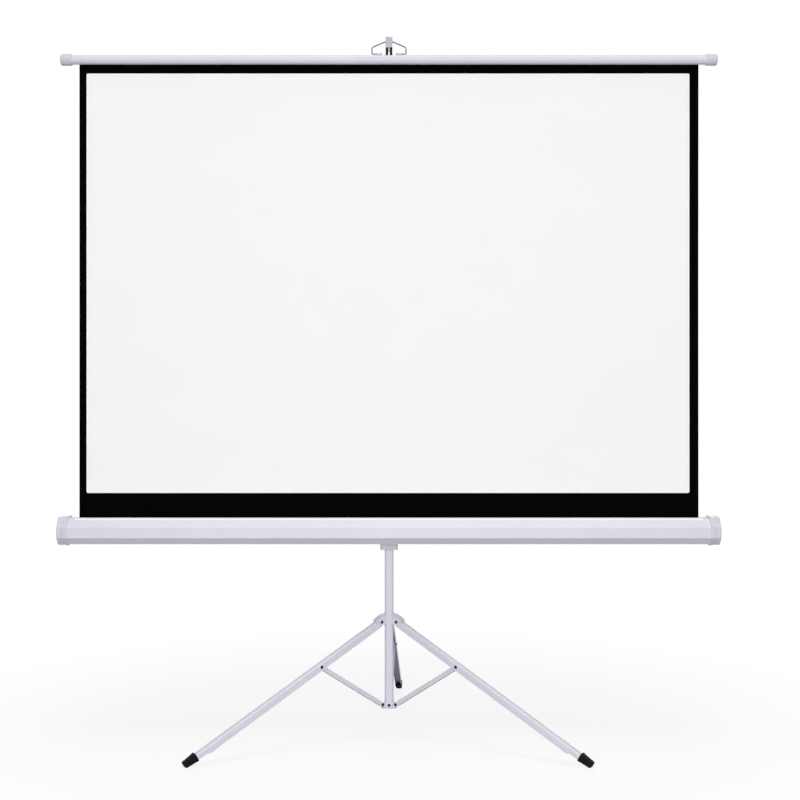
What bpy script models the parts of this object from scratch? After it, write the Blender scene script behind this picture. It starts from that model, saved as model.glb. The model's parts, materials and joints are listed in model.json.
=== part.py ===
import math

import bmesh
import bpy
from mathutils import Matrix, Vector

# All sizes are in metres. The floor is at Z 0 and the front of the screen faces -Y.
# "Out" values are distances from the mast's axis, measured along a leg's own direction.

# Clearances between pieces
SEAT_GAP = 0.0003
RUN_GAP = 0.0004

# How far a cutter runs past the piece that it cuts
CUT_PAST = 0.05

# Mast and the pole that slides in it
MAST_SIDE = 0.025
MAST_WALL = 0.0013
MAST_CORNER = 0.006
MAST_TOP = 1.070
POLE_SIDE = 0.019
POLE_WALL = 0.0012
POLE_CORNER = 0.0042
POLE_BOTTOM = 0.900
POLE_BELOW_BAR_AXIS = 0.0005
BUSH_HEIGHT = 0.030
BUSH_FLOOR = 0.0015
TOP_COLLAR_WALL = 0.0032
TOP_COLLAR_SLEEVE = 0.034
TOP_COLLAR_CAP = 0.011
PLUG_HEIGHT = 0.024

# Tripod: three legs, three braces, the hub that slides and the collar that stays
LEG_AZIMUTHS = {"left": 210.0, "right": 330.0, "rear": 87.4}
HUB_PIVOT_OUT = 0.0303
COLLAR_PIVOT_OUT = 0.0255
COLLAR_PIVOT_HEIGHT = 0.0955
LEG_SLOPE = math.radians(29.0)
BRACE_PIN_ALONG = 0.2185
BRACE_PIN_DROP = 0.003
PIN_RADIUS = 0.0025
PIN_HEAD_RADIUS = 0.0043
PIN_HEAD = 0.0018

# Leg: a channel, open on its lower side
LEG_WIDTH = 0.020
LEG_ABOVE_PIVOT = 0.0075
LEG_BELOW_PIVOT = 0.0125
LEG_WALL = 0.0012
LEG_CORNER = 0.0045
LEG_LIP_START = 0.006
NECK_BEFORE_FOOT = 0.0383
NECK_LENGTH = 0.014
NECK_RISE = 0.0045
FLARE_DROP = 0.0012

# Rubber foot
FOOT_START = 0.6343
FOOT_LENGTH = 0.0390
FOOT_GRIP = 0.0132
SOLE_CUT = 0.0030
FOOT_MOUTH = 0.0240
FOOT_TIP = 0.0180
FOOT_CORNER = 0.0055
FOOT_ROUND = 0.0025

# Brace: a narrower channel that swings between the leg's walls
BRACE_WIDTH = 0.0156
BRACE_HALF_DEPTH = 0.0065
BRACE_WALL = 0.0011
BRACE_CORNER = 0.0032
BRACE_FORK = 0.019

# Hub, whose heights are measured from the legs' pivots
HUB_DRUM_RADIUS = 0.0205
HUB_DRUM_BELOW = 0.0090
HUB_DRUM_ABOVE = 0.0175
HUB_DRUM_CHAMFER = 0.002
HUB_NECK_ABOVE = 0.0250
HUB_NECK_WALL = 0.0016
HOOD_WALL = 0.0016
HOOD_ROOM = 0.0012
HOOD_BELOW = 0.0075
HOOD_EAR = 0.0090
HOOD_LIP = (0.0468, 0.0011)
HOOD_ROOF = ((0.0482, 0.0025), (0.0400, 0.0088), (0.0310, 0.0145), (0.0220, 0.0191), (0.0130, 0.0220))

# Lower collar, which carries the ends of the braces; its heights are measured from their pivots
COLLAR_WALL = 0.0026
COLLAR_BELOW = 0.0125
COLLAR_ABOVE = 0.0055
COLLAR_FLOOR = 0.0020
COLLAR_DRAIN_RADIUS = 0.004
LUG_SIDE_GAP = 0.0005
LUG_RADIUS = 0.0064
LUG_SHOULDER_BELOW = 0.0025
LUG_SLOT_SPARE = 0.0012
COLLAR_SCREW_RADIUS = 0.0022
COLLAR_SCREW_HEAD = 0.0042

# Case: a folded metal housing with a slot along its top
SCREEN_PLANE_OUT = 0.062
CASE_FRONT_OUT = 0.098
CASE_BACK_OUT = 0.030
CASE_TOP = 0.6305
CASE_BOTTOM = 0.5595
CASE_UPPER_FACET = (0.021, 0.0235)
CASE_LOWER_FACET = (0.017, 0.0186)
CASE_BACK_FACET = 0.006
CASE_WALL = 0.0016
CASE_LENGTH = 1.855
SLOT_WIDTH = 0.0080
SLOT_LIP = 0.0023
CAP_LENGTH = 0.028
CAP_WALL = 0.0018
CAP_GRIP = 0.014
CAP_END_WALL = 0.003
CAP_BEAD = 0.0012
CAP_BEAD_LENGTH = 0.003
CAP_BOSS_RADIUS = 0.007
CAP_BOSS_LENGTH = 0.016

# Roller inside the case
ROLLER_RADIUS = 0.010
ROLLER_WALL = 0.001
ROLLER_OVERHANG = 0.0235
ROLL_THICKNESS = 0.0052
PLUG_FLANGE = 0.0022
PLUG_SPIGOT = 0.020
SHAFT_RADIUS = 0.003
SHAFT_LENGTH = 0.190
IDLER_LENGTH = 0.040
SPRING_TURNS = 15
SPRING_WIRE = 0.0007
SPRING_PITCH = 0.0065

# Screen, top bar and bail
FABRIC_INSET = 0.056
FABRIC_THICKNESS = 0.0006
FABRIC_INSIDE_CASE = 0.033
FABRIC_IN_BAR = 0.004
BAR_HEIGHT = 1.9210
BAR_RADIUS = 0.013
BAR_WALL = 0.0015
BAR_OVERHANG = 0.0515
BAR_CAP_LENGTH = 0.031
BAR_CAP_RADIUS = 0.016
BAR_CAP_GRIP = 0.026
BAR_CAP_FILLET = 0.0012
BAIL_WIRE = 0.00175
BAIL_HALF_WIDTH = 0.048
BAIL_FOOT_END = 0.020
BAIL_SHOULDER = 0.026
BAIL_APEX_HALF = 0.0115
BAIL_BEND = 0.005
CLIP_LENGTH = 0.012
CLIP_DEPTH = 0.0110
CLIP_WALL = 0.0026
CLIP_FLOOR = 0.0011
CLIP_START = 0.023

# Head of the pole: the arm, its two prongs and the hook
HEAD_WIDTH = 0.019
HEAD_FRONT_OUT = 0.042
ARM_THICKNESS = 0.008
ARM_GUSSET = 0.010
HEAD_PLUG_DEPTH = 0.022
PRONG_RISE = 0.0410
PRONG_DEPTH = 0.0093
PRONG_SLOT = 0.0043
PRONG_SLOT_RISE = 0.0145
HOOK_RISE = 0.030
HOOK_LIP = 0.0031
HOOK_SEAT = 0.0145
HOOK_TANG = 0.010

# Carriage that holds the case on the mast
CARRIAGE_WIDTH = 0.050
CARRIAGE_BOTTOM = 0.5365
CARRIAGE_TOP = 0.648
CARRIAGE_FRONT_OUT = 0.024
CARRIAGE_BACK_OUT = 0.022
CARRIAGE_WALL = 0.0025
CARRIAGE_SLEEVE_WALL = 0.0032
CARRIAGE_RECESS = 0.040
CARRIAGE_CORNER = 0.008
SWIVEL_RADIUS = 0.005
SWIVEL_HEAD_RADIUS = 0.0085
SWIVEL_HEAD = 0.003
SWIVEL_BOSS_RADIUS = 0.014
KNOB_ABOVE_BOSS = 0.016
BRACKET_WIDTH = 0.110
BRACKET_HEIGHT = 0.052
BRACKET_THICKNESS = 0.0026

# Clamping knobs
KNOB_RADIUS = 0.0135
KNOB_LOBE = 0.0016
KNOB_LOBES = 7
KNOB_THICKNESS = 0.014
KNOB_STEM_RADIUS = 0.003
KNOB_STAND_OFF = 0.004

# Places worked out from the sizes above
FOOT_END = FOOT_START + FOOT_LENGTH
LEG_END_ALONG = FOOT_START + FOOT_GRIP
NECK_START = FOOT_START - NECK_BEFORE_FOOT
NECK_BOTTOM = NECK_RISE - LEG_BELOW_PIVOT
FOOT_MID = (LEG_ABOVE_PIVOT + NECK_BOTTOM) / 2
TIP_FALL = FOOT_END * math.sin(LEG_SLOPE) - (FOOT_MID - FOOT_TIP / 2) * math.cos(LEG_SLOPE)
HUB_PIVOT_HEIGHT = TIP_FALL - SOLE_CUT
HUB_DRUM_BOTTOM = HUB_PIVOT_HEIGHT - HUB_DRUM_BELOW
HUB_DRUM_TOP = HUB_PIVOT_HEIGHT + HUB_DRUM_ABOVE
HUB_NECK_TOP = HUB_PIVOT_HEIGHT + HUB_NECK_ABOVE
HOOD_BOTTOM = HUB_PIVOT_HEIGHT - HOOD_BELOW
COLLAR_BOTTOM = COLLAR_PIVOT_HEIGHT - COLLAR_BELOW
COLLAR_TOP = COLLAR_PIVOT_HEIGHT + COLLAR_ABOVE
LUG_SHOULDER = COLLAR_PIVOT_HEIGHT - LUG_SHOULDER_BELOW
LEG_RUN = BRACE_PIN_ALONG * math.cos(LEG_SLOPE) - BRACE_PIN_DROP * math.sin(LEG_SLOPE)
LEG_FALL = BRACE_PIN_ALONG * math.sin(LEG_SLOPE) + BRACE_PIN_DROP * math.cos(LEG_SLOPE)
BRACE_PIN_OUT = HUB_PIVOT_OUT + LEG_RUN
BRACE_PIN_HEIGHT = HUB_PIVOT_HEIGHT - LEG_FALL
BRACE_RUN = BRACE_PIN_OUT - COLLAR_PIVOT_OUT
BRACE_RISE = BRACE_PIN_HEIGHT - COLLAR_PIVOT_HEIGHT
BRACE_REACH = math.hypot(BRACE_RUN, BRACE_RISE)
BRACE_SLOPE = math.atan2(BRACE_RISE, BRACE_RUN)
LEG_MID = (LEG_ABOVE_PIVOT - LEG_BELOW_PIVOT) / 2
TIP_OUT = (
    HUB_PIVOT_OUT
    + FOOT_END * math.cos(LEG_SLOPE)
    + (LEG_MID + FOOT_TIP / 2) * math.sin(LEG_SLOPE)
)
FRONT_REACH = -TIP_OUT * math.sin(math.radians(LEG_AZIMUTHS["left"]))
MAST_Y = -(TIP_OUT - FRONT_REACH) / 2
MAST_BOTTOM = COLLAR_BOTTOM + COLLAR_FLOOR + SEAT_GAP
PLANE_Y = -SCREEN_PLANE_OUT
ROLL_RADIUS = ROLLER_RADIUS + SEAT_GAP + ROLL_THICKNESS
ROLLER_Y = PLANE_Y - FABRIC_THICKNESS / 2 - SEAT_GAP - ROLL_RADIUS
CASE_MID = (CASE_TOP + CASE_BOTTOM) / 2
FABRIC_WIDTH = CASE_LENGTH - 2 * FABRIC_INSET
ROLLER_LENGTH = FABRIC_WIDTH + 2 * ROLLER_OVERHANG
BAR_LENGTH = FABRIC_WIDTH + 2 * BAR_OVERHANG
CASE_HALF = CASE_LENGTH / 2
CAP_INNER = CASE_HALF - CAP_LENGTH
SHELL_HALF = CAP_INNER + CAP_GRIP
BAR_TOP = BAR_HEIGHT + BAR_RADIUS
POLE_TOP = BAR_HEIGHT - POLE_BELOW_BAR_AXIS
PRONG_TOP = BAR_HEIGHT + PRONG_RISE
PRONG_SLOT_BOTTOM = BAR_HEIGHT + PRONG_SLOT_RISE
HOOK_TOP = PRONG_TOP + HOOK_RISE
BAIL_HEIGHT = BAR_TOP + SEAT_GAP + CLIP_FLOOR + BAIL_WIRE + SEAT_GAP
SEAT_TOP = PRONG_TOP + SEAT_GAP + HOOK_SEAT
WIRE_Y = -HEAD_FRONT_OUT + HOOK_LIP + SEAT_GAP + BAIL_WIRE
WIRE_HEIGHT = SEAT_TOP + SEAT_GAP + BAIL_WIRE
BAIL_LENGTH = math.hypot(WIRE_Y - PLANE_Y, WIRE_HEIGHT - BAIL_HEIGHT)
BAIL_LEAN = math.atan2(WIRE_Y - PLANE_Y, WIRE_HEIGHT - BAIL_HEIGHT)


def clear_scene():
    for old in list(bpy.data.objects):
        bpy.data.objects.remove(old)


def new_collection(name, hidden):
    made = bpy.data.collections.new(name)
    bpy.context.scene.collection.children.link(made)
    made.hide_render = hidden
    return made


def new_material(name, colour, metallic, roughness):
    made = bpy.data.materials.new(name)
    made.use_nodes = True
    shader = made.node_tree.nodes["Principled BSDF"]
    shader.inputs["Base Color"].default_value = (*colour, 1.0)
    shader.inputs["Metallic"].default_value = metallic
    shader.inputs["Roughness"].default_value = roughness
    made.diffuse_color = (*colour, 1.0)
    return made


def new_axis(name, location, rotation=(0.0, 0.0, 0.0), parent=None):
    axis = bpy.data.objects.new(name, None)
    axis.location = location
    axis.rotation_euler = rotation
    axis.parent = parent
    axis.empty_display_size = 0.03
    PIECES.objects.link(axis)
    return axis


def as_object(name, shape, parent, location=(0.0, 0.0, 0.0), rotation=(0.0, 0.0, 0.0)):
    mesh = bpy.data.meshes.new(name)
    bmesh.ops.recalc_face_normals(shape, faces=shape.faces[:])
    shape.to_mesh(mesh)
    shape.free()
    made = bpy.data.objects.new(name, mesh)
    made.location = location
    made.rotation_euler = rotation
    made.parent = parent
    PIECES.objects.link(made)
    return made


def as_cutter(tool):
    PIECES.objects.unlink(tool)
    CUTTERS.objects.link(tool)
    tool.hide_render = True
    tool.display_type = "WIRE"
    return tool


def combine(target, tool, operation):
    as_cutter(tool)
    step = target.modifiers.new(tool.name, "BOOLEAN")
    step.solver = "EXACT"
    step.operation = operation
    step.object = tool
    return target


def cut(target, tool):
    return combine(target, tool, "DIFFERENCE")


def join(target, tool):
    return combine(target, tool, "UNION")


def keep_inside(target, tool):
    return combine(target, tool, "INTERSECT")


def bevel(target, width, segments=2, angle=50.0):
    step = target.modifiers.new("edge_round", "BEVEL")
    step.width = width
    step.segments = segments
    step.limit_method = "ANGLE"
    step.angle_limit = math.radians(angle)
    return target


def finish(target, material, angle=35.0):
    target.data.materials.clear()
    target.data.materials.append(material)
    target.data.shade_smooth()
    target.data.set_sharp_from_angle(angle=math.radians(angle))
    return target


def arc_points(centre, radius, start, end, steps):
    points = []
    for step in range(steps + 1):
        turn = math.radians(start + (end - start) * step / steps)
        points.append((centre[0] + radius * math.cos(turn), centre[1] + radius * math.sin(turn)))
    return points


def rounded_box(width, depth, corner, steps=3, centre=(0.0, 0.0)):
    points = []
    for quarter in range(4):
        turn = math.radians(45 + 90 * quarter)
        side_x = math.copysign(width / 2 - corner, math.cos(turn))
        side_y = math.copysign(depth / 2 - corner, math.sin(turn))
        middle = (centre[0] + side_x, centre[1] + side_y)
        points += arc_points(middle, corner, 90 * quarter, 90 * quarter + 90, steps)
    return points


def channel(width, above, below, wall, corner, steps=3):
    """Outline of a channel across its length: closed above, open below."""
    half = width / 2
    inner = corner - wall
    outline = [(half, -below)]
    outline += arc_points((half - corner, above - corner), corner, 0, 90, steps)
    outline += arc_points((corner - half, above - corner), corner, 90, 180, steps)
    outline += [(-half, -below), (wall - half, -below)]
    outline += arc_points((corner - half, above - corner), inner, 180, 90, steps)
    outline += arc_points((half - corner, above - corner), inner, 90, 0, steps)
    outline.append((half - wall, -below))
    return outline


def inset(outline, distance):
    """The same convex outline, listed anticlockwise, with each side moved inwards."""
    sides = []
    for index, start in enumerate(outline):
        end = outline[(index + 1) % len(outline)]
        run = (end[0] - start[0], end[1] - start[1])
        length = math.hypot(*run)
        normal = (-run[1] / length, run[0] / length)
        sides.append((normal, normal[0] * start[0] + normal[1] * start[1] + distance))
    points = []
    for index, (normal, offset) in enumerate(sides):
        before, offset_before = sides[index - 1]
        spread = before[0] * normal[1] - before[1] * normal[0]
        across = (offset_before * normal[1] - offset * before[1]) / spread
        up = (before[0] * offset - normal[0] * offset_before) / spread
        points.append((across, up))
    return points


# Which axes an outline's across, up and along directions become
PLANES = {
    "XY": Matrix(((1, 0, 0), (0, 1, 0), (0, 0, 1))),
    "YZ": Matrix(((0, 0, 1), (1, 0, 0), (0, 1, 0))),
    "XZ": Matrix(((1, 0, 0), (0, 0, 1), (0, 1, 0))),
}


def tapered(name, outline, levels, plane, parent, centre=(0.0, 0.0), **placed):
    """A flat outline drawn out through levels, each a distance along and a scale about the centre."""
    shape = bmesh.new()
    first_along, first_scale = levels[0]
    middle = Vector((*centre, 0.0))
    corners = []
    for across, up in outline:
        flat = middle + (Vector((across, up, 0.0)) - middle) * first_scale
        corners.append(shape.verts.new((flat.x, flat.y, first_along)))
    face = shape.faces.new(corners)
    last_scale = first_scale
    inner_faces = []
    for along, scale in levels[1:]:
        grown = bmesh.ops.extrude_face_region(shape, geom=[face])["geom"]
        face = next(item for item in grown if isinstance(item, bmesh.types.BMFace))
        inner_faces.append(face)
        for corner in face.verts:
            flat = middle + (Vector((corner.co.x, corner.co.y, 0.0)) - middle) * scale / last_scale
            corner.co = (flat.x, flat.y, along)
        last_scale = scale
    bmesh.ops.delete(shape, geom=inner_faces[:-1], context="FACES_ONLY")
    bmesh.ops.transform(shape, matrix=PLANES[plane].to_4x4(), verts=shape.verts[:])
    return as_object(name, shape, parent, **placed)


def prism(name, outline, start, end, plane, parent, **placed):
    return tapered(name, outline, ((start, 1.0), (end, 1.0)), plane, parent, **placed)


def tube(name, outline, bore, start, end, plane, parent, **placed):
    made = prism(name, outline, start, end, plane, parent, **placed)
    return cut(made, prism(name + "_bore", bore, start - 0.01, end + 0.01, plane, parent, **placed))


def turned(name, profile, steps, parent, **placed):
    """A profile of radius and height, listed from the top down its outer side, turned about local Z."""
    mesh = bpy.data.meshes.new(name)
    closed = profile[0][0] > 0.0
    count = len(profile)
    edges = [(index, index + 1) for index in range(count - 1)]
    if closed:
        edges.append((count - 1, 0))
    mesh.from_pydata([(radius, 0.0, height) for radius, height in profile], edges, [])
    made = bpy.data.objects.new(name, mesh)
    made.parent = parent
    made.location = placed.get("location", (0.0, 0.0, 0.0))
    made.rotation_euler = placed.get("rotation", (0.0, 0.0, 0.0))
    PIECES.objects.link(made)
    spin = made.modifiers.new("turn", "SCREW")
    spin.axis = "Z"
    spin.angle = math.tau
    spin.steps = steps
    spin.render_steps = steps
    spin.use_merge_vertices = True
    spin.merge_threshold = 0.00001
    return made


def rod(name, radius, start, end, parent, steps=16, **placed):
    return turned(name, ((0.0, end), (radius, end), (radius, start), (0.0, start)), steps, parent, **placed)


def circle(radius, steps, centre=(0.0, 0.0)):
    return arc_points(centre, radius, 0.0, 360.0 * (steps - 1) / steps, steps - 1)


ALONG_X = (0.0, math.pi / 2, 0.0)
ALONG_MINUS_X = (0.0, -math.pi / 2, 0.0)


def along_y(azimuth=0.0):
    return (-math.pi / 2, 0.0, azimuth)


def rivet(name, half_grip, parent, location, azimuth):
    """A pin with a low round head at each end, lying across a leg's plane."""
    outer = half_grip + PIN_HEAD
    profile = [(0.0, outer), (0.7 * PIN_HEAD_RADIUS, outer), (PIN_HEAD_RADIUS, half_grip + PIN_HEAD / 2)]
    profile += [(PIN_HEAD_RADIUS, half_grip), (PIN_RADIUS, half_grip)]
    profile += [(radius, -height) for radius, height in reversed(profile)]
    return turned(name, profile, 14, parent, location=location, rotation=along_y(azimuth))


def wire(name, points, radius, resolution, parent, **placed):
    """A round wire through the points, turned into a closed mesh."""
    curve = bpy.data.curves.new(name + "_route", "CURVE")
    curve.dimensions = "3D"
    curve.bevel_depth = radius
    curve.bevel_resolution = resolution
    curve.use_fill_caps = True
    spline = curve.splines.new("POLY")
    spline.points.add(len(points) - 1)
    for point, place in zip(spline.points, points):
        point.co = (*place, 1.0)
    route = bpy.data.objects.new(name + "_route", curve)
    PIECES.objects.link(route)
    bpy.context.view_layer.update()
    mesh = bpy.data.meshes.new_from_object(route.evaluated_get(bpy.context.evaluated_depsgraph_get()))
    bpy.data.objects.remove(route)
    shape = bmesh.new()
    shape.from_mesh(mesh)
    bpy.data.meshes.remove(mesh)
    bmesh.ops.remove_doubles(shape, verts=shape.verts[:], dist=0.00001)
    return as_object(name, shape, parent, **placed)


def rounded_path(corners, radius, steps=5):
    """The corners of a path in one plane, each inner one replaced by an arc of this radius."""
    path = [corners[0]]
    for before, corner, after in zip(corners, corners[1:], corners[2:]):
        back = (Vector(before) - Vector(corner)).normalized()
        ahead = (Vector(after) - Vector(corner)).normalized()
        half = back.angle(ahead) / 2
        middle = Vector(corner) + (back + ahead).normalized() * radius / math.sin(half)
        start = (Vector(corner) + back * radius / math.tan(half) - middle).normalized()
        end = (Vector(corner) + ahead * radius / math.tan(half) - middle).normalized()
        for step in range(steps + 1):
            path.append(tuple(middle + radius * start.slerp(end, step / steps)))
    path.append(corners[-1])
    return path


def build_mast(stand):
    inner = MAST_SIDE - 2 * MAST_WALL
    inner_corner = MAST_CORNER - MAST_WALL
    knob_height = MAST_TOP - TOP_COLLAR_SLEEVE / 2
    screw_height = (MAST_BOTTOM + COLLAR_TOP) / 2
    outer_box = rounded_box(MAST_SIDE, MAST_SIDE, MAST_CORNER)
    inner_box = rounded_box(inner, inner, inner_corner)
    mast = tube("mast_tube", outer_box, inner_box, MAST_BOTTOM, MAST_TOP, "XY", stand)
    stem_hole = KNOB_STEM_RADIUS + SEAT_GAP
    cut(mast, rod("mast_knob_hole", stem_hole, POLE_SIDE / 2, MAST_SIDE, stand,
                  location=(0, 0, knob_height), rotation=ALONG_X))
    screw_hole = COLLAR_SCREW_RADIUS + SEAT_GAP
    cut(mast, rod("mast_screw_hole", screw_hole, -MAST_SIDE, -MAST_SIDE / 4, stand,
                  location=(0, 0, screw_height), rotation=along_y()))
    finish(mast, PAINT)

    plug_side = inner - 2 * SEAT_GAP
    plug_box = rounded_box(plug_side, plug_side, inner_corner - SEAT_GAP)
    plug = prism("mast_bottom_plug", plug_box, MAST_BOTTOM, MAST_BOTTOM + PLUG_HEIGHT, "XY", stand)
    screw_end = -MAST_SIDE / 4
    cut(plug, rod("plug_screw_hole", screw_hole, -MAST_SIDE, screw_end + SEAT_GAP, stand,
                  location=(0, 0, screw_height), rotation=along_y()))
    finish(plug, BLACK_PLASTIC)

    sleeve = MAST_SIDE + 2 * SEAT_GAP
    outer = sleeve + 2 * TOP_COLLAR_WALL
    collar_outline = rounded_box(outer, outer, MAST_CORNER + SEAT_GAP + TOP_COLLAR_WALL)
    collar = prism("mast_top_collar", collar_outline, MAST_TOP - TOP_COLLAR_SLEEVE,
                   MAST_TOP + TOP_COLLAR_CAP, "XY", stand)
    bevel(collar, 0.0012)
    sleeve_box = rounded_box(sleeve, sleeve, MAST_CORNER + SEAT_GAP)
    cut(collar, prism("collar_socket", sleeve_box, MAST_TOP - 2 * TOP_COLLAR_SLEEVE,
                      MAST_TOP + SEAT_GAP, "XY", stand))
    guide = POLE_SIDE + 2 * RUN_GAP
    guide_box = rounded_box(guide, guide, POLE_CORNER + RUN_GAP)
    cut(collar, prism("collar_guide", guide_box, MAST_TOP - 0.002, MAST_TOP + 0.05, "XY", stand))
    cut(collar, rod("collar_knob_hole", stem_hole, POLE_SIDE / 2, MAST_SIDE, stand,
                    location=(0, 0, knob_height), rotation=ALONG_X))
    finish(collar, BLACK_PLASTIC)
    build_knob("pole_knob", POLE_SIDE / 2 + RUN_GAP, outer / 2, knob_height, stand)

    build_lower_collar(stand, screw_height, screw_end)


def build_lower_collar(stand, screw_height, screw_end):
    pocket = MAST_SIDE + 2 * SEAT_GAP
    side = pocket + 2 * COLLAR_WALL
    outline = rounded_box(side, side, MAST_CORNER + SEAT_GAP + COLLAR_WALL)
    collar = prism("lower_collar", outline, COLLAR_BOTTOM, COLLAR_TOP, "XY", stand)
    bevel(collar, 0.0008)
    slot_in = COLLAR_PIVOT_OUT - PIN_RADIUS - RUN_GAP
    slot_out = COLLAR_PIVOT_OUT + PIN_RADIUS + RUN_GAP + LUG_SLOT_SPARE
    slot_mid = ((slot_in + slot_out) / 2, COLLAR_PIVOT_HEIGHT)
    pivot = (COLLAR_PIVOT_OUT, COLLAR_PIVOT_HEIGHT)
    lug_end = COLLAR_PIVOT_HEIGHT - LUG_RADIUS / 2
    root = MAST_SIDE / 2
    lug_outline = [(root, COLLAR_BOTTOM + 0.0004), (slot_in, COLLAR_BOTTOM + 0.0004)]
    lug_outline += arc_points(slot_mid, (slot_out - slot_in) / 2, 180, 0, 8)
    lug_outline += [(slot_out, lug_end)]
    lug_outline += arc_points(pivot, LUG_RADIUS, -30, 160, 10)
    lug_outline += [(COLLAR_PIVOT_OUT - LUG_RADIUS, LUG_SHOULDER), (root, LUG_SHOULDER)]
    half = BRACE_WIDTH / 2 - BRACE_WALL - LUG_SIDE_GAP
    for side_name, degrees in LEG_AZIMUTHS.items():
        turn = (0, 0, math.radians(degrees))
        join(collar, prism("collar_lug_" + side_name, lug_outline, -half, half, "XZ", stand, rotation=turn))
    pocket_box = rounded_box(pocket, pocket, MAST_CORNER + SEAT_GAP)
    cut(collar, prism("collar_pocket", pocket_box, COLLAR_BOTTOM + COLLAR_FLOOR, COLLAR_TOP + CUT_PAST,
                      "XY", stand))
    cut(collar, rod("collar_drain", COLLAR_DRAIN_RADIUS, COLLAR_BOTTOM - CUT_PAST, COLLAR_TOP + CUT_PAST,
                    stand))
    cut(collar, rod("collar_screw_hole", COLLAR_SCREW_RADIUS + SEAT_GAP, -MAST_SIDE, -MAST_SIDE / 4, stand,
                    location=(0, 0, screw_height), rotation=along_y()))
    finish(collar, PAINT)
    seat = -side / 2 - SEAT_GAP
    head = 0.0018
    profile = [(0.0, screw_end), (COLLAR_SCREW_RADIUS, screw_end), (COLLAR_SCREW_RADIUS, seat)]
    profile += [(COLLAR_SCREW_HEAD, seat), (COLLAR_SCREW_HEAD, seat - head / 2)]
    profile += [(0.7 * COLLAR_SCREW_HEAD, seat - head), (0.0, seat - head)]
    screw = turned("collar_screw", profile, 20, stand, location=(0, 0, screw_height), rotation=along_y())
    finish(screw, BLACK_METAL)


def build_knob(name, stem_start, face_out, height, parent):
    """A lobed knob on the right side, whose stem runs inwards along X."""
    axis = new_axis(name + "_axis", (0, 0, height), parent=parent)
    start = face_out + KNOB_STAND_OFF
    lobes = []
    points = 6 * KNOB_LOBES
    for index in range(points):
        turn = math.tau * index / points
        radius = KNOB_RADIUS + KNOB_LOBE * math.cos(KNOB_LOBES * turn)
        lobes.append((radius * math.cos(turn), radius * math.sin(turn)))
    knob = prism(name, lobes, start, start + KNOB_THICKNESS, "YZ", axis)
    bevel(knob, 0.0018, 1)
    neck = 1.9 * KNOB_STEM_RADIUS
    inside = start + 0.003
    seat = face_out + RUN_GAP
    profile = ((0.0, inside), (neck, inside), (neck, seat), (KNOB_STEM_RADIUS, seat),
               (KNOB_STEM_RADIUS, stem_start), (0.0, stem_start))
    join(knob, turned(name + "_stem", profile, 20, axis, rotation=ALONG_X))
    return finish(knob, BLACK_PLASTIC)


def build_hub(stand):
    drum = [(0.0, HUB_DRUM_TOP), (HUB_DRUM_RADIUS - HUB_DRUM_CHAMFER, HUB_DRUM_TOP)]
    drum += [(HUB_DRUM_RADIUS, HUB_DRUM_TOP - HUB_DRUM_CHAMFER), (HUB_DRUM_RADIUS, HUB_DRUM_BOTTOM)]
    drum.append((0.0, HUB_DRUM_BOTTOM))
    hub = turned("leg_hub", drum, 32, stand)
    bore = MAST_SIDE + 2 * RUN_GAP
    bore_corner = MAST_CORNER + RUN_GAP
    neck = bore + 2 * HUB_NECK_WALL
    join(hub, prism("hub_neck", rounded_box(neck, neck, bore_corner + HUB_NECK_WALL),
                    HUB_DRUM_TOP - 0.008, HUB_NECK_TOP, "XY", stand))
    pivot = (HUB_PIVOT_OUT, HUB_PIVOT_HEIGHT)
    hood_outline = [(HOOD_ROOF[-1][0], HOOD_BOTTOM), (HUB_PIVOT_OUT - HOOD_EAR * 0.7, HOOD_BOTTOM)]
    hood_outline += arc_points(pivot, HOOD_EAR, -100, -10, 6)
    hood_outline += [(out, HUB_PIVOT_HEIGHT + up) for out, up in (HOOD_LIP, *HOOD_ROOF)]
    room = LEG_ABOVE_PIVOT + HOOD_ROOM
    square = 90 - math.degrees(LEG_SLOPE)
    room_start = HUB_DRUM_RADIUS - 0.0005
    beyond = 0.04
    shoulder = (HUB_PIVOT_OUT + room * math.sin(LEG_SLOPE), HUB_PIVOT_HEIGHT + room * math.cos(LEG_SLOPE))
    far = (shoulder[0] + beyond * math.cos(LEG_SLOPE), shoulder[1] - beyond * math.sin(LEG_SLOPE))
    room_outline = [(far[0], HUB_DRUM_BOTTOM - 0.02), (room_start, HUB_DRUM_BOTTOM - 0.02)]
    room_outline += [(room_start, HUB_PIVOT_HEIGHT + 0.002)]
    room_outline += arc_points(pivot, room, 160, square, 8)
    room_outline.append(far)
    inner = LEG_WIDTH / 2 + RUN_GAP
    outer = inner + HOOD_WALL
    for side, degrees in LEG_AZIMUTHS.items():
        turn = (0, 0, math.radians(degrees))
        hood = prism("hood_" + side, hood_outline, -outer, outer, "XZ", stand, rotation=turn)
        bevel(hood, 0.0009, 1, 62)
        cut(hood, prism("hood_room_" + side, room_outline, -inner, inner, "XZ", stand, rotation=turn))
        join(hub, hood)
    cut(hub, prism("hub_bore", rounded_box(bore, bore, bore_corner), HUB_DRUM_BOTTOM - CUT_PAST,
                   HUB_NECK_TOP + CUT_PAST, "XY", stand))
    for side, degrees in LEG_AZIMUTHS.items():
        azimuth = math.radians(degrees)
        place = (HUB_PIVOT_OUT * math.cos(azimuth), HUB_PIVOT_OUT * math.sin(azimuth), HUB_PIVOT_HEIGHT)
        cut(hub, rod("hub_pin_hole_" + side, PIN_RADIUS + SEAT_GAP, -0.03, 0.03, stand,
                     location=place, rotation=along_y(azimuth)))
        pin = rivet("leg_pin_" + side, outer + SEAT_GAP, stand, place, azimuth)
        finish(pin, BLACK_METAL)
    finish(hub, PAINT)


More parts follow.
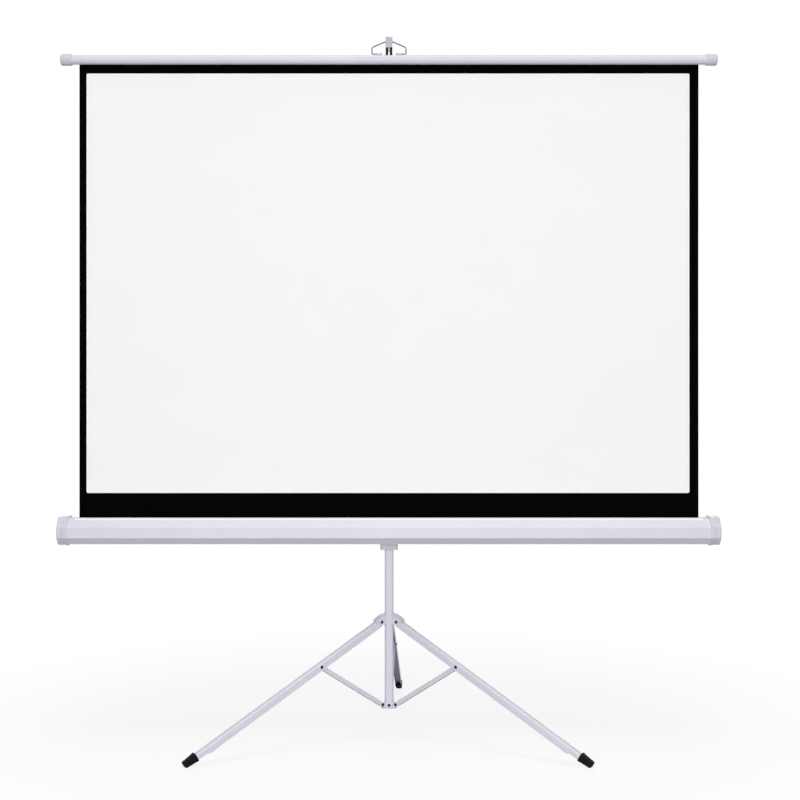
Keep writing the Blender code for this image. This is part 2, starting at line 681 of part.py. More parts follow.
def build_leg(side, degrees, stand):
    azimuth = math.radians(degrees)
    place = (HUB_PIVOT_OUT * math.cos(azimuth), HUB_PIVOT_OUT * math.sin(azimuth), HUB_PIVOT_HEIGHT)
    axis = new_axis("leg_axis_" + side, place, (0, LEG_SLOPE, azimuth), stand)
    flare = LEG_BELOW_PIVOT + FLARE_DROP
    section = channel(LEG_WIDTH, LEG_ABOVE_PIVOT, flare + 0.001, LEG_WALL, LEG_CORNER)
    leg = prism("leg_" + side, section, -0.02, LEG_END_ALONG, "YZ", axis)
    over = LEG_ABOVE_PIVOT + 0.003
    head = LEG_ABOVE_PIVOT - 0.0001
    neck_end = NECK_START + NECK_LENGTH
    outline = [(0.0, over)] + arc_points((0.0, 0.0), head, 90, 225, 9)
    outline += [(LEG_LIP_START, -LEG_BELOW_PIVOT), (NECK_START - 0.024, -LEG_BELOW_PIVOT)]
    outline += [(NECK_START - 0.008, -flare), (NECK_START, -flare), (NECK_START + 0.004, -flare + 0.001)]
    outline += [(neck_end - 0.004, NECK_BOTTOM - 0.001), (neck_end, NECK_BOTTOM)]
    outline += [(LEG_END_ALONG + 0.01, NECK_BOTTOM), (LEG_END_ALONG + 0.01, over)]
    keep_inside(leg, prism("leg_side_" + side, outline, -LEG_WIDTH, LEG_WIDTH, "XZ", axis))
    hole = PIN_RADIUS + SEAT_GAP
    brace_pin = (BRACE_PIN_ALONG, 0.0, -BRACE_PIN_DROP)
    for label, spot in (("hub", (0.0, 0.0, 0.0)), ("brace", brace_pin)):
        cut(leg, rod(f"leg_{label}_hole_{side}", hole, -0.03, 0.03, axis, location=spot, rotation=along_y()))
    finish(leg, PAINT)
    finish(rivet("brace_pin_" + side, LEG_WIDTH / 2 + SEAT_GAP, axis, brace_pin, 0.0), BLACK_METAL)
    build_foot(side, axis, stand, azimuth)


def build_foot(side, axis, stand, azimuth):
    middle = (0.0, FOOT_MID)
    outline = rounded_box(FOOT_MOUTH, FOOT_MOUTH, FOOT_CORNER, centre=middle)
    end = FOOT_END
    levels = ((FOOT_START, 1.0), (end, FOOT_TIP / FOOT_MOUTH))
    foot = tapered("foot_" + side, outline, levels, "YZ", axis, centre=middle)
    bevel(foot, FOOT_ROUND, 3)
    socket_width = LEG_WIDTH + 2 * SEAT_GAP
    socket_depth = LEG_ABOVE_PIVOT - NECK_BOTTOM + 2 * SEAT_GAP
    socket = rounded_box(socket_width, socket_depth, 0.0005, 1, middle)
    cut(foot, prism("foot_socket_" + side, socket, FOOT_START - 0.01, LEG_END_ALONG + SEAT_GAP, "YZ", axis))
    reach = TIP_OUT - 0.02
    ground = rounded_box(0.2, 0.2, 0.01)
    spot = (reach * math.cos(azimuth), reach * math.sin(azimuth), 0.0)
    cut(foot, prism("ground_" + side, ground, -0.05, 0.0, "XY", stand, location=spot))
    finish(foot, RUBBER)


def build_brace(side, degrees, stand):
    azimuth = math.radians(degrees)
    place = (BRACE_PIN_OUT * math.cos(azimuth), BRACE_PIN_OUT * math.sin(azimuth), BRACE_PIN_HEIGHT)
    axis = new_axis("brace_axis_" + side, place, (0, -BRACE_SLOPE, azimuth), stand)
    section = channel(BRACE_WIDTH, BRACE_HALF_DEPTH, BRACE_HALF_DEPTH, BRACE_WALL, BRACE_CORNER)
    spare = BRACE_HALF_DEPTH + 0.003
    round_end = BRACE_HALF_DEPTH - 0.0001
    brace = prism("brace_" + side, section, -BRACE_REACH - spare, spare, "YZ", axis)
    outline = [(0.0, -spare)] + arc_points((0.0, 0.0), round_end, -90, 90, 10) + [(0.0, spare)]
    outline += [(-BRACE_REACH, spare)] + arc_points((-BRACE_REACH, 0.0), round_end, 90, 270, 10)
    outline += [(-BRACE_REACH, -spare)]
    keep_inside(brace, prism("brace_side_" + side, outline, -BRACE_WIDTH, BRACE_WIDTH, "XZ", axis))
    fork = BRACE_WIDTH - 2 * BRACE_WALL - 0.0004
    fork_end = -BRACE_REACH + BRACE_FORK
    window = rounded_box(BRACE_FORK * 2, fork, 0.004, centre=(fork_end - BRACE_FORK, 0.0))
    cut(brace, prism("brace_window_" + side, window, 0.0, spare + 0.01, "XY", axis))
    hole = PIN_RADIUS + SEAT_GAP
    foot_spot = (-BRACE_REACH, 0.0, 0.0)
    for label, spot in (("leg", (0.0, 0.0, 0.0)), ("collar", foot_spot)):
        cut(brace, rod(f"brace_{label}_hole_{side}", hole, -0.03, 0.03, axis, location=spot,
                       rotation=along_y()))
    finish(brace, PAINT)
    finish(rivet("brace_foot_pin_" + side, BRACE_WIDTH / 2 + SEAT_GAP, axis, foot_spot, 0.0), BLACK_METAL)


def case_outline():
    """The case's section as points of Y and Z, anticlockwise, without the slot."""
    front, back = -CASE_FRONT_OUT, -CASE_BACK_OUT
    upper_run, upper_drop = CASE_UPPER_FACET
    lower_run, lower_rise = CASE_LOWER_FACET
    return [
        (front, CASE_TOP - upper_drop),
        (front, CASE_BOTTOM + lower_rise),
        (front + lower_run, CASE_BOTTOM),
        (back - CASE_BACK_FACET, CASE_BOTTOM),
        (back, CASE_BOTTOM + CASE_BACK_FACET),
        (back, CASE_TOP - CASE_BACK_FACET),
        (back - CASE_BACK_FACET, CASE_TOP),
        (front + upper_run, CASE_TOP),
    ]


def build_case(holder):
    outer = case_outline()
    inner = inset(outer, CASE_WALL)
    slot_front = PLANE_Y - SLOT_WIDTH / 2
    slot_back = PLANE_Y + SLOT_WIDTH / 2
    lip_top = CASE_TOP + SLOT_LIP
    section = [(slot_front - CASE_WALL, lip_top), (slot_front - CASE_WALL, CASE_TOP)]
    section += [outer[-1]] + outer[:-1]
    section += [(slot_back + CASE_WALL, CASE_TOP), (slot_back + CASE_WALL, lip_top), (slot_back, lip_top)]
    section += [(slot_back, CASE_TOP - CASE_WALL)] + inner[-2::-1] + [inner[-1]]
    section += [(slot_front, CASE_TOP - CASE_WALL), (slot_front, lip_top)]
    shell = prism("case_shell", section, -SHELL_HALF, SHELL_HALF, "YZ", holder)
    trim = rounded_box(SLOT_WIDTH + 4 * CASE_WALL, 2 * SLOT_LIP + 0.002, 0.0002,
                       centre=(PLANE_Y, lip_top + 0.001))
    for side, way in (("left", -1), ("right", 1)):
        start, end = sorted((way * (CAP_INNER - 0.002), way * (SHELL_HALF + 0.01)))
        cut(shell, prism("lip_trim_" + side, trim, start, end, "YZ", holder))
    pin_hole = SWIVEL_RADIUS + SEAT_GAP
    cut(shell, rod("case_pin_hole", pin_hole, -0.05, 0.0, holder, location=(0, 0, CASE_MID),
                   rotation=along_y()))
    finish(shell, PAINT, 20.0)

    bracket_back = -CASE_BACK_OUT + SEAT_GAP
    plate = rounded_box(BRACKET_WIDTH, BRACKET_HEIGHT, 0.006, centre=(0.0, CASE_MID))
    bracket = prism("case_bracket", plate, bracket_back, bracket_back + BRACKET_THICKNESS, "XZ", holder)
    bevel(bracket, 0.0006)
    cut(bracket, rod("bracket_pin_hole", pin_hole, -0.05, 0.0, holder, location=(0, 0, CASE_MID),
                     rotation=along_y()))
    finish(bracket, STEEL)
    for side, way in (("left", -1), ("right", 1)):
        build_end_cap(side, way, holder)


def build_end_cap(side, way, holder):
    outer = inset(case_outline(), -CAP_WALL - SEAT_GAP)
    middle = (-(CASE_FRONT_OUT + CASE_BACK_OUT) / 2, CASE_MID)
    bead = 1.0 + CAP_BEAD / (CASE_TOP - CASE_BOTTOM)
    step = 0.0004
    bead_end = CAP_INNER + CAP_BEAD_LENGTH
    levels = [(CAP_INNER, bead), (bead_end, bead), (bead_end + step, 1.0)]
    levels += [(CASE_HALF - 0.006, 1.0), (CASE_HALF - 0.0022, 0.965), (CASE_HALF, 0.90)]
    levels = [(way * along, scale) for along, scale in levels]
    cap = tapered("end_cap_" + side, outer, levels, "YZ", holder, centre=middle)
    socket = inset(case_outline(), -SEAT_GAP)
    hollow = inset(case_outline(), CASE_WALL)
    ends = sorted((way * (CAP_INNER - 0.01), way * (SHELL_HALF + SEAT_GAP)))
    cut(cap, prism("cap_socket_" + side, socket, *ends, "YZ", holder))
    ends = sorted((way * CAP_INNER, way * (CASE_HALF - CAP_END_WALL - 0.004)))
    cut(cap, prism("cap_hollow_" + side, hollow, *ends, "YZ", holder))
    turn = ALONG_X if way > 0 else ALONG_MINUS_X
    spot = (0.0, ROLLER_Y, CASE_MID)
    boss_end = CASE_HALF - CAP_END_WALL
    join(cap, rod("cap_boss_" + side, CAP_BOSS_RADIUS, boss_end - CAP_BOSS_LENGTH, boss_end, holder,
                  location=spot, rotation=turn))
    pin_end = boss_end - 0.003
    cut(cap, rod("cap_pin_hole_" + side, SHAFT_RADIUS + SEAT_GAP, boss_end - CAP_BOSS_LENGTH - CUT_PAST,
                 pin_end + SEAT_GAP, holder,
                 location=spot, rotation=turn))
    finish(cap, GREY_PLASTIC, 20.0)
    name, length = ("idler_pin", IDLER_LENGTH) if way < 0 else ("spring_shaft", SHAFT_LENGTH)
    chamfer = 0.0006
    profile = [(0.0, pin_end), (SHAFT_RADIUS - chamfer, pin_end), (SHAFT_RADIUS, pin_end - chamfer)]
    profile += [(SHAFT_RADIUS, pin_end - length + chamfer), (SHAFT_RADIUS - chamfer, pin_end - length)]
    profile.append((0.0, pin_end - length))
    finish(turned(name, profile, 20, holder, location=spot, rotation=turn), STEEL)


def build_roller(holder):
    axis = new_axis("roller_axis", (0.0, ROLLER_Y, CASE_MID), parent=holder)
    half = ROLLER_LENGTH / 2
    bore = ROLLER_RADIUS - ROLLER_WALL
    roller = tube("roller_tube", circle(ROLLER_RADIUS, 28), circle(bore, 28), -half, half, "YZ", axis)
    finish(roller, STEEL)
    roll = tube("fabric_roll", circle(ROLL_RADIUS, 36), circle(ROLLER_RADIUS + SEAT_GAP, 28),
                -FABRIC_WIDTH / 2, FABRIC_WIDTH / 2, "YZ", axis)
    finish(roll, CLOTH)
    spigot = bore - SEAT_GAP
    inner = SHAFT_RADIUS + SEAT_GAP
    face = half + SEAT_GAP
    for side, turn in (("left", ALONG_MINUS_X), ("right", ALONG_X)):
        profile = [(inner, face + PLUG_FLANGE), (ROLLER_RADIUS, face + PLUG_FLANGE), (ROLLER_RADIUS, face)]
        profile += [(spigot, face), (spigot, face - PLUG_SPIGOT), (inner, face - PLUG_SPIGOT)]
        finish(turned("roller_plug_" + side, profile, 28, axis, rotation=turn), GREY_PLASTIC)
    coil = bore - SPRING_WIRE - RUN_GAP
    start = face - PLUG_SPIGOT - RUN_GAP - SPRING_WIRE
    steps = 10 * SPRING_TURNS
    route = []
    for step in range(steps + 1):
        turn = math.tau * step / 10
        route.append((start - SPRING_PITCH * step / 10, coil * math.cos(turn), coil * math.sin(turn)))
    finish(wire("roller_spring", route, SPRING_WIRE, 0, axis), STEEL)
    print(f"least gap between turns of the roller's spring: {1000 * (SPRING_PITCH - 2 * SPRING_WIRE):.2f} mm")


def build_screen(holder):
    bottom = CASE_TOP - FABRIC_INSIDE_CASE
    top = BAR_HEIGHT - BAR_RADIUS + FABRIC_IN_BAR
    edge = FABRIC_WIDTH / 2
    sheet = [(-edge, bottom), (edge, bottom), (edge, top), (-edge, top)]
    half = FABRIC_THICKNESS / 2
    finish(prism("screen_fabric", sheet, PLANE_Y - half, PLANE_Y + half, "XZ", holder), CLOTH)


def build_top_bar(holder):
    axis = new_axis("bar_axis", (0.0, PLANE_Y, BAR_HEIGHT), parent=holder)
    cap_start = BAR_LENGTH / 2 - BAR_CAP_LENGTH
    tube_half = cap_start + BAR_CAP_GRIP
    outer, inner = circle(BAR_RADIUS, 40), circle(BAR_RADIUS - BAR_WALL, 40)
    bar = tube("top_bar", outer, inner, -tube_half, tube_half, "YZ", axis)
    slot_half = FABRIC_THICKNESS / 2 + SEAT_GAP
    slot_end = FABRIC_WIDTH / 2 + SEAT_GAP
    low, high = -2 * BAR_RADIUS, -BAR_RADIUS / 2
    slot = [(-slot_end, low), (slot_end, low), (slot_end, high), (-slot_end, high)]
    cut(bar, prism("bar_slot", slot, -slot_half, slot_half, "XZ", axis))
    finish(bar, PAINT, 30.0)
    bore = BAR_RADIUS + SEAT_GAP
    bore_end = BAR_CAP_GRIP + SEAT_GAP
    radius = BAR_CAP_RADIUS
    groove = radius - 0.0007
    profile = [(0.0, BAR_CAP_LENGTH), (radius - 0.003, BAR_CAP_LENGTH)]
    profile += [(radius - 0.0009, BAR_CAP_LENGTH - 0.0009), (radius, BAR_CAP_LENGTH - 0.003)]
    profile += [(radius, 0.0080), (groove, 0.0076), (groove, 0.0066)]
    profile += [(radius, 0.0062), (radius, BAR_CAP_FILLET), (radius - BAR_CAP_FILLET, 0.0)]
    profile += [(bore, 0.0), (bore, bore_end), (0.0, bore_end)]
    for side, way, turn in (("left", -1, ALONG_MINUS_X), ("right", 1, ALONG_X)):
        cap = turned("bar_cap_" + side, profile, 28, axis, location=(way * cap_start, 0, 0), rotation=turn)
        finish(cap, GREY_PLASTIC)
    build_bail(holder)


def build_bail(holder):
    axis = new_axis("bail_axis", (0.0, PLANE_Y, BAIL_HEIGHT), (-BAIL_LEAN, 0.0, 0.0), holder)
    half = [(BAIL_FOOT_END, 0.0, 0.0), (BAIL_HALF_WIDTH, 0.0, 0.0), (BAIL_HALF_WIDTH, 0.0, BAIL_SHOULDER)]
    half.append((BAIL_APEX_HALF, 0.0, BAIL_LENGTH))
    corners = [(-across, deep, up) for across, deep, up in half] + half[::-1]
    finish(wire("bail", rounded_path(corners, BAIL_BEND), BAIL_WIRE, 2, axis), STEEL)
    clip_bottom = BAR_TOP + SEAT_GAP
    clip_top = BAIL_HEIGHT + BAIL_WIRE + SEAT_GAP + CLIP_WALL
    clip_middle = (PLANE_Y, (clip_top + clip_bottom) / 2)
    outline = rounded_box(CLIP_DEPTH, clip_top - clip_bottom, 0.0025, centre=clip_middle)
    outline = [(across, max(up, clip_bottom)) for across, up in outline]
    for side, way in (("left", -1), ("right", 1)):
        ends = sorted((way * CLIP_START, way * (CLIP_START + CLIP_LENGTH)))
        clip = prism("bail_clip_" + side, outline, *ends, "YZ", holder)
        turn = ALONG_X if way > 0 else ALONG_MINUS_X
        cut(clip, rod("clip_hole_" + side, BAIL_WIRE + SEAT_GAP, 0.0, 0.1, holder,
                      location=(0, PLANE_Y, BAIL_HEIGHT), rotation=turn))
        finish(clip, STEEL)


def inside_swing(height):
    """How far back a fixed piece may reach at this height without meeting the bail as it swings."""
    radius = BAIL_LENGTH - BAIL_WIRE - RUN_GAP
    return PLANE_Y + math.sqrt(radius**2 - (height - BAIL_HEIGHT) ** 2)


def build_pole(stand):
    outer_box = rounded_box(POLE_SIDE, POLE_SIDE, POLE_CORNER)
    inner = POLE_SIDE - 2 * POLE_WALL
    inner_box = rounded_box(inner, inner, POLE_CORNER - POLE_WALL)
    finish(tube("extension_pole", outer_box, inner_box, POLE_BOTTOM, POLE_TOP, "XY", stand), PAINT)

    side = MAST_SIDE - 2 * MAST_WALL - 2 * SEAT_GAP
    floor_bottom = POLE_BOTTOM - SEAT_GAP - BUSH_FLOOR
    bush = prism("pole_guide_bush", rounded_box(side, side, MAST_CORNER - MAST_WALL - SEAT_GAP), floor_bottom,
                 POLE_BOTTOM + BUSH_HEIGHT, "XY", stand)
    socket = POLE_SIDE + 2 * SEAT_GAP
    socket_box = rounded_box(socket, socket, POLE_CORNER + SEAT_GAP)
    cut(bush, prism("bush_socket", socket_box, POLE_BOTTOM - SEAT_GAP,
                    POLE_BOTTOM + 0.1, "XY", stand))
    cut(bush, prism("bush_opening", rounded_box(inner, inner, POLE_CORNER - POLE_WALL), POLE_BOTTOM - 0.1,
                    POLE_BOTTOM + 0.001, "XY", stand))
    finish(bush, BLACK_PLASTIC)

    half = HEAD_WIDTH / 2
    front = -HEAD_FRONT_OUT
    back = front + PRONG_DEPTH
    arm_bottom = POLE_TOP + SEAT_GAP
    arm_top = arm_bottom + ARM_THICKNESS
    gusset = arm_bottom - ARM_GUSSET
    pole_front = -POLE_SIDE / 2
    outline = [(-pole_front, arm_bottom), (-pole_front, arm_top), (back, arm_top), (back, PRONG_TOP)]
    outline += [(front, PRONG_TOP), (front, gusset), (back, gusset), (pole_front - 0.003, arm_bottom)]
    head = prism("pole_top_fork", outline, -half, half, "YZ", stand)
    bevel(head, 0.0008, 2, 30)
    plug = inner - 2 * SEAT_GAP
    join(head, prism("head_plug", rounded_box(plug, plug, POLE_CORNER - POLE_WALL - SEAT_GAP),
                     POLE_TOP - HEAD_PLUG_DEPTH, arm_bottom + ARM_THICKNESS / 2, "XY", stand))
    slot = [(-PRONG_SLOT / 2, PRONG_SLOT_BOTTOM), (PRONG_SLOT / 2, PRONG_SLOT_BOTTOM)]
    slot += [(PRONG_SLOT / 2, PRONG_TOP + 0.01), (-PRONG_SLOT / 2, PRONG_TOP + 0.01)]
    cut(head, prism("prong_slot", slot, front - 0.01, back + 0.004, "XZ", stand))
    finish(head, BLACK_PLASTIC)

    base = PRONG_TOP + SEAT_GAP
    lip = front + HOOK_LIP
    profile = [(front, base), (back, base), (inside_swing(SEAT_TOP), SEAT_TOP)]
    profile += [(lip, SEAT_TOP), (lip, HOOK_TOP), (front, HOOK_TOP)]
    hook = prism("pole_hook", profile, -half, half, "YZ", stand)
    bevel(hook, 0.0006, 2, 62)
    tang = PRONG_SLOT / 2 - SEAT_GAP
    low, high = PRONG_TOP - HOOK_TANG, base + 0.001
    blade = [(-tang, low), (tang, low), (tang, high), (-tang, high)]
    join(hook, prism("hook_tang", blade, front + 0.001, back - 0.001, "XZ", stand))
    finish(hook, STEEL)


def build_carriage(stand):
    depth = CARRIAGE_FRONT_OUT + CARRIAGE_BACK_OUT
    middle = (0.0, (CARRIAGE_BACK_OUT - CARRIAGE_FRONT_OUT) / 2)
    outline = rounded_box(CARRIAGE_WIDTH, depth, CARRIAGE_CORNER, 4, middle)
    block = prism("carriage_block", outline, CARRIAGE_BOTTOM, CARRIAGE_TOP, "XY", stand)
    bevel(block, 0.002)
    bore = MAST_SIDE + 2 * RUN_GAP
    bore_corner = MAST_CORNER + RUN_GAP
    sleeve = bore + 2 * CARRIAGE_SLEEVE_WALL
    wall = 2 * CARRIAGE_WALL
    recess_box = rounded_box(CARRIAGE_WIDTH - wall, depth - wall, CARRIAGE_CORNER - CARRIAGE_WALL, 4, middle)
    recess = prism("carriage_recess", recess_box, CARRIAGE_BOTTOM - 0.01, CARRIAGE_BOTTOM + CARRIAGE_RECESS,
                   "XY", stand)
    cut(recess, prism("carriage_sleeve", rounded_box(sleeve, sleeve, bore_corner + CARRIAGE_SLEEVE_WALL),
                      CARRIAGE_BOTTOM - 0.02, CARRIAGE_TOP, "XY", stand))
    cut(block, recess)
    plate_back = -CASE_BACK_OUT + SEAT_GAP + BRACKET_THICKNESS
    boss_front = plate_back + RUN_GAP
    join(block, rod("swivel_boss", SWIVEL_BOSS_RADIUS, boss_front, -CARRIAGE_FRONT_OUT + 0.002, stand, 32,
                    location=(0, 0, CASE_MID), rotation=along_y()))
    knob_height = CASE_MID + SWIVEL_BOSS_RADIUS + KNOB_ABOVE_BOSS
    cut(block, rod("carriage_knob_hole", KNOB_STEM_RADIUS + SEAT_GAP, MAST_SIDE / 4, 0.05, stand,
                   location=(0, 0, knob_height), rotation=ALONG_X))
    cut(block, prism("carriage_bore", rounded_box(bore, bore, bore_corner), CARRIAGE_BOTTOM - 0.02,
                     CARRIAGE_TOP + 0.02, "XY", stand))
    pin_hole = SWIVEL_RADIUS + SEAT_GAP
    cut(block, rod("swivel_hole", pin_hole, -0.05, -MAST_SIDE / 4, stand, location=(0, 0, CASE_MID),
                   rotation=along_y()))
    finish(block, GREY_PLASTIC)
    build_knob("carriage_knob", MAST_SIDE / 2 + RUN_GAP, CARRIAGE_WIDTH / 2, knob_height, stand)
    head_seat = -CASE_BACK_OUT - CASE_WALL - RUN_GAP
    tip = -MAST_SIDE / 2 - RUN_GAP
    profile = [(0.0, tip), (SWIVEL_RADIUS, tip), (SWIVEL_RADIUS, head_seat), (SWIVEL_HEAD_RADIUS, head_seat)]
    profile += [(SWIVEL_HEAD_RADIUS, head_seat - SWIVEL_HEAD), (0.0, head_seat - SWIVEL_HEAD)]
    finish(turned("swivel_pin", profile, 24, stand, location=(0, 0, CASE_MID), rotation=along_y()), STEEL)


clear_scene()
PIECES = new_collection("tripod_projector_screen", False)
CUTTERS = new_collection("cutters", True)
PAINT = new_material("light_grey_paint", (0.71, 0.70, 0.78), 0.2, 0.38)
GREY_PLASTIC = new_material("light_grey_plastic", (0.68, 0.67, 0.74), 0.0, 0.45)
BLACK_PLASTIC = new_material("black_plastic", (0.012, 0.012, 0.014), 0.0, 0.5)
BLACK_METAL = new_material("blackened_steel", (0.02, 0.02, 0.022), 0.8, 0.4)
RUBBER = new_material("black_rubber", (0.01, 0.01, 0.011), 0.0, 0.75)
STEEL = new_material("bright_steel", (0.55, 0.55, 0.57), 1.0, 0.35)
CLOTH = new_material("screen_cloth", (0.9, 0.9, 0.9), 0.0, 0.9)

STAND = new_axis("stand_axis", (0.0, MAST_Y, 0.0))
build_mast(STAND)
build_hub(STAND)
for leg_side, leg_degrees in LEG_AZIMUTHS.items():
    build_leg(leg_side, leg_degrees, STAND)
    build_brace(leg_side, leg_degrees, STAND)
build_pole(STAND)
build_carriage(STAND)
build_case(STAND)
build_roller(STAND)
build_screen(STAND)
build_top_bar(STAND)
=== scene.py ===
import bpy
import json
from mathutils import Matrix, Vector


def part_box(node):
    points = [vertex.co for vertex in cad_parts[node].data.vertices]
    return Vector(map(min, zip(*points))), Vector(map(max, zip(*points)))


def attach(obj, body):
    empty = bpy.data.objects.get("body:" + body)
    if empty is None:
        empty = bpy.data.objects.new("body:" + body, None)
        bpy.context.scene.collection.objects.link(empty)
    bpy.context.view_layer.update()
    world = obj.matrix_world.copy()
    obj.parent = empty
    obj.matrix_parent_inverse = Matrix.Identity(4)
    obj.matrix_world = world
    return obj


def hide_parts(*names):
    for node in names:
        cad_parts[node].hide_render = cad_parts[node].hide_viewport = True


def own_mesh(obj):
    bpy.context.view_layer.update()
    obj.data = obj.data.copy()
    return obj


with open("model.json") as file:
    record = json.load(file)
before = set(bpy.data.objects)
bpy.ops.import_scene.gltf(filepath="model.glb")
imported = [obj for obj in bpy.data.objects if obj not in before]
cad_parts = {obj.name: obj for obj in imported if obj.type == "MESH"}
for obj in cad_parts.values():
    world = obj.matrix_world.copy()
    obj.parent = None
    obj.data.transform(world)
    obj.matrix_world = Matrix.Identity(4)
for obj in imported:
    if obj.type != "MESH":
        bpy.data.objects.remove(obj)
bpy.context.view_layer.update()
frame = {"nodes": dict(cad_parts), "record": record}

import json
import math

import bmesh
import bpy
import numpy as np
from mathutils import Vector


def srgb(code):
    # hex sRGB to linear: v / 12.92 up to 0.04045, else ((v + 0.055) / 1.055) ** 2.4
    v = np.array([int(code[i:i + 2], 16) / 255 for i in (1, 3, 5)])
    return (*np.where(v <= 0.04045, v / 12.92, ((v + 0.055) / 1.055) ** 2.4).tolist(), 1.0)


def add(tree, kind, settings=None, links=None):
    # settings: attribute or input name to value; links: input name or number to an output socket
    node = tree.nodes.new(kind)
    for key, value in (settings or {}).items():
        if isinstance(key, str) and hasattr(node, key):
            setattr(node, key, value)
        else:
            node.inputs[key].default_value = value
    for key, output in (links or {}).items():
        tree.links.new(output, node.inputs[key])
    return node


def middleOf(node):
    # half the sum of the lowest and the highest corner of a CAD node at rest
    low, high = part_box(node)
    return (low + high) / 2


print("stage: camera")
cameraFacts = {"place": (0.0311, -3.8156, 0.9635), "lens": 57.5, "sensor": 36.0}
lens = bpy.data.cameras.new("camera")
lens.lens = cameraFacts["lens"]
lens.sensor_width = cameraFacts["sensor"]
camera = bpy.data.objects.new("camera", lens)
camera.location = cameraFacts["place"]
camera.rotation_euler = (math.pi / 2, 0, 0)  # level, looking straight along y
bpy.context.scene.collection.objects.link(camera)
bpy.context.scene.camera = camera
bpy.context.scene.view_settings.view_transform = "Standard"

print("stage: materials")


def startMaterial(name, settings):
    # values that are the same all over the surface sit on the shader's own sockets
    made = bpy.data.materials.new(name)
    made.use_nodes = True
    shader = made.node_tree.nodes["Principled BSDF"]
    for key, value in settings.items():
        shader.inputs[key].default_value = value
    return made, made.node_tree, shader


def finishSurface(tree, shader, facts, colour, relief):
    # relief sets the roughness, smooth at 0 and dull at 1, and the bump's height where there is a bump
    tree.links.new(colour, shader.inputs["Base Color"])
    smooth, dull = facts["rough"]
    rough = add(tree, "ShaderNodeMapRange", {"To Min": smooth, "To Max": dull}, {"Value": relief})
    tree.links.new(rough.outputs["Result"], shader.inputs["Roughness"])
    if "bump" in facts:
        strength, depth = facts["bump"]
        bump = add(tree, "ShaderNodeBump", {"Strength": strength, "Distance": depth}, {"Height": relief})
        tree.links.new(bump.outputs["Normal"], shader.inputs["Normal"])


coatFacts = {"peelMm": 3.0, "bump": (0.06, 0.0003)}
paintFacts = {"light": "#DFDEE9", "dark": "#D3D1DE", "cloudMm": 140.0, "rough": (0.36, 0.46),
              "specular": 0.35}
dullPaintFacts = {"light": "#C2C1CA", "dark": "#B2B1BC", "cloudMm": 20.0, "rough": (0.4, 0.5),
                  "specular": 0.3}  # a greyer coat, on the hook
braceShadeFacts = {"light": "#32323C", "dark": "#282830", "cloudMm": 60.0, "rough": (0.5, 0.65),
               "specular": 0.3}  # painted shade: a dark coat on the braces' undersides, inner walls and lower edges, where shade falls
legShadeFacts = {"light": "#C6C5D4", "dark": "#B8B7C6", "cloudMm": 60.0, "rough": (0.45, 0.6),
                 "specular": 0.3}  # painted shade: a darker coat on the legs' undersides and inner walls, where shade falls


def powderCoat(name, own):
    # polyester powder coat, baked on: even pale grey, soft gloss, a faint orange peel
    # real peel is about 1 mm across and is drawn 3 mm wide so that it can be seen
    facts = {**coatFacts, **own}
    made, tree, shader = startMaterial(name, {"IOR": 1.5, "Specular IOR Level": facts["specular"]})
    where = add(tree, "ShaderNodeTexCoord").outputs["Object"]
    cloud = add(tree, "ShaderNodeTexNoise", {"Scale": 1000 / facts["cloudMm"], "Detail": 3.0},
                {"Vector": where})
    tint = add(tree, "ShaderNodeMix",
               {"data_type": "RGBA", 6: srgb(facts["dark"]), 7: srgb(facts["light"])},
               {0: cloud.outputs["Fac"]})
    peel = add(tree, "ShaderNodeTexNoise", {"Scale": 1000 / facts["peelMm"], "Detail": 2.0},
               {"Vector": where})
    finishSurface(tree, shader, facts, tint.outputs[2], peel.outputs["Fac"])
    return made


mouldFacts = {"grainMm": 2.0, "cloudMm": 25.0, "bump": (0.15, 0.0002)}
greyPlasticFacts = {"light": "#D8D6DE", "dark": "#CBC9D2", "rough": (0.42, 0.52), "specular": 0.5}
# painted highlight: the slot guard's near-white stands in for the highlight along the slot's lip
guardHighlightFacts = {"light": "#F6F6FA", "dark": "#F0F0F5", "rough": (0.45, 0.55), "specular": 0.4}
blackPlasticFacts = {"light": "#0E0E10", "dark": "#070708", "rough": (0.45, 0.6), "specular": 0.2}


def mouldedPlastic(name, own):
    # injection moulded ABS or nylon from a spark-eroded mould: fine leathery grain, low sheen
    # real grain is about 0.3 mm and is drawn 2 mm wide so that it can be seen
    facts = {**mouldFacts, **own}
    made, tree, shader = startMaterial(name, {"IOR": 1.53, "Specular IOR Level": facts["specular"]})
    where = add(tree, "ShaderNodeTexCoord").outputs["Object"]
    grain = add(tree, "ShaderNodeTexVoronoi", {"Scale": 1000 / facts["grainMm"]}, {"Vector": where})
    cloud = add(tree, "ShaderNodeTexNoise", {"Scale": 1000 / facts["cloudMm"], "Detail": 3.0},
                {"Vector": where})
    tint = add(tree, "ShaderNodeMix",
               {"data_type": "RGBA", 6: srgb(facts["dark"]), 7: srgb(facts["light"])},
               {0: cloud.outputs["Fac"]})
    finishSurface(tree, shader, facts, tint.outputs[2], grain.outputs["Distance"])
    return made


blackSteelFacts = {"light": "#2A2A2E", "dark": "#121214", "blotchMm": 5.0, "rough": (0.28, 0.45)}


def blackenedSteel(facts):
    # black-oxide steel: oily dark grey in blotches, with a dull metal shine on the rivet heads
    made, tree, shader = startMaterial("blackened_steel", {"Metallic": 0.7})
    where = add(tree, "ShaderNodeTexCoord").outputs["Object"]
    blotch = add(tree, "ShaderNodeTexNoise", {"Scale": 1000 / facts["blotchMm"], "Detail": 4.0},
                 {"Vector": where})
    tint = add(tree, "ShaderNodeMix",
               {"data_type": "RGBA", 6: srgb(facts["dark"]), 7: srgb(facts["light"])},
               {0: blotch.outputs["Fac"]})
    finishSurface(tree, shader, facts, tint.outputs[2], blotch.outputs["Fac"])
    return made


rubberFacts = {"light": "#0F0F10", "dark": "#060607", "rubMm": 2.5, "rough": (0.62, 0.82),
               "bump": (0.25, 0.0002), "specular": 0.12}


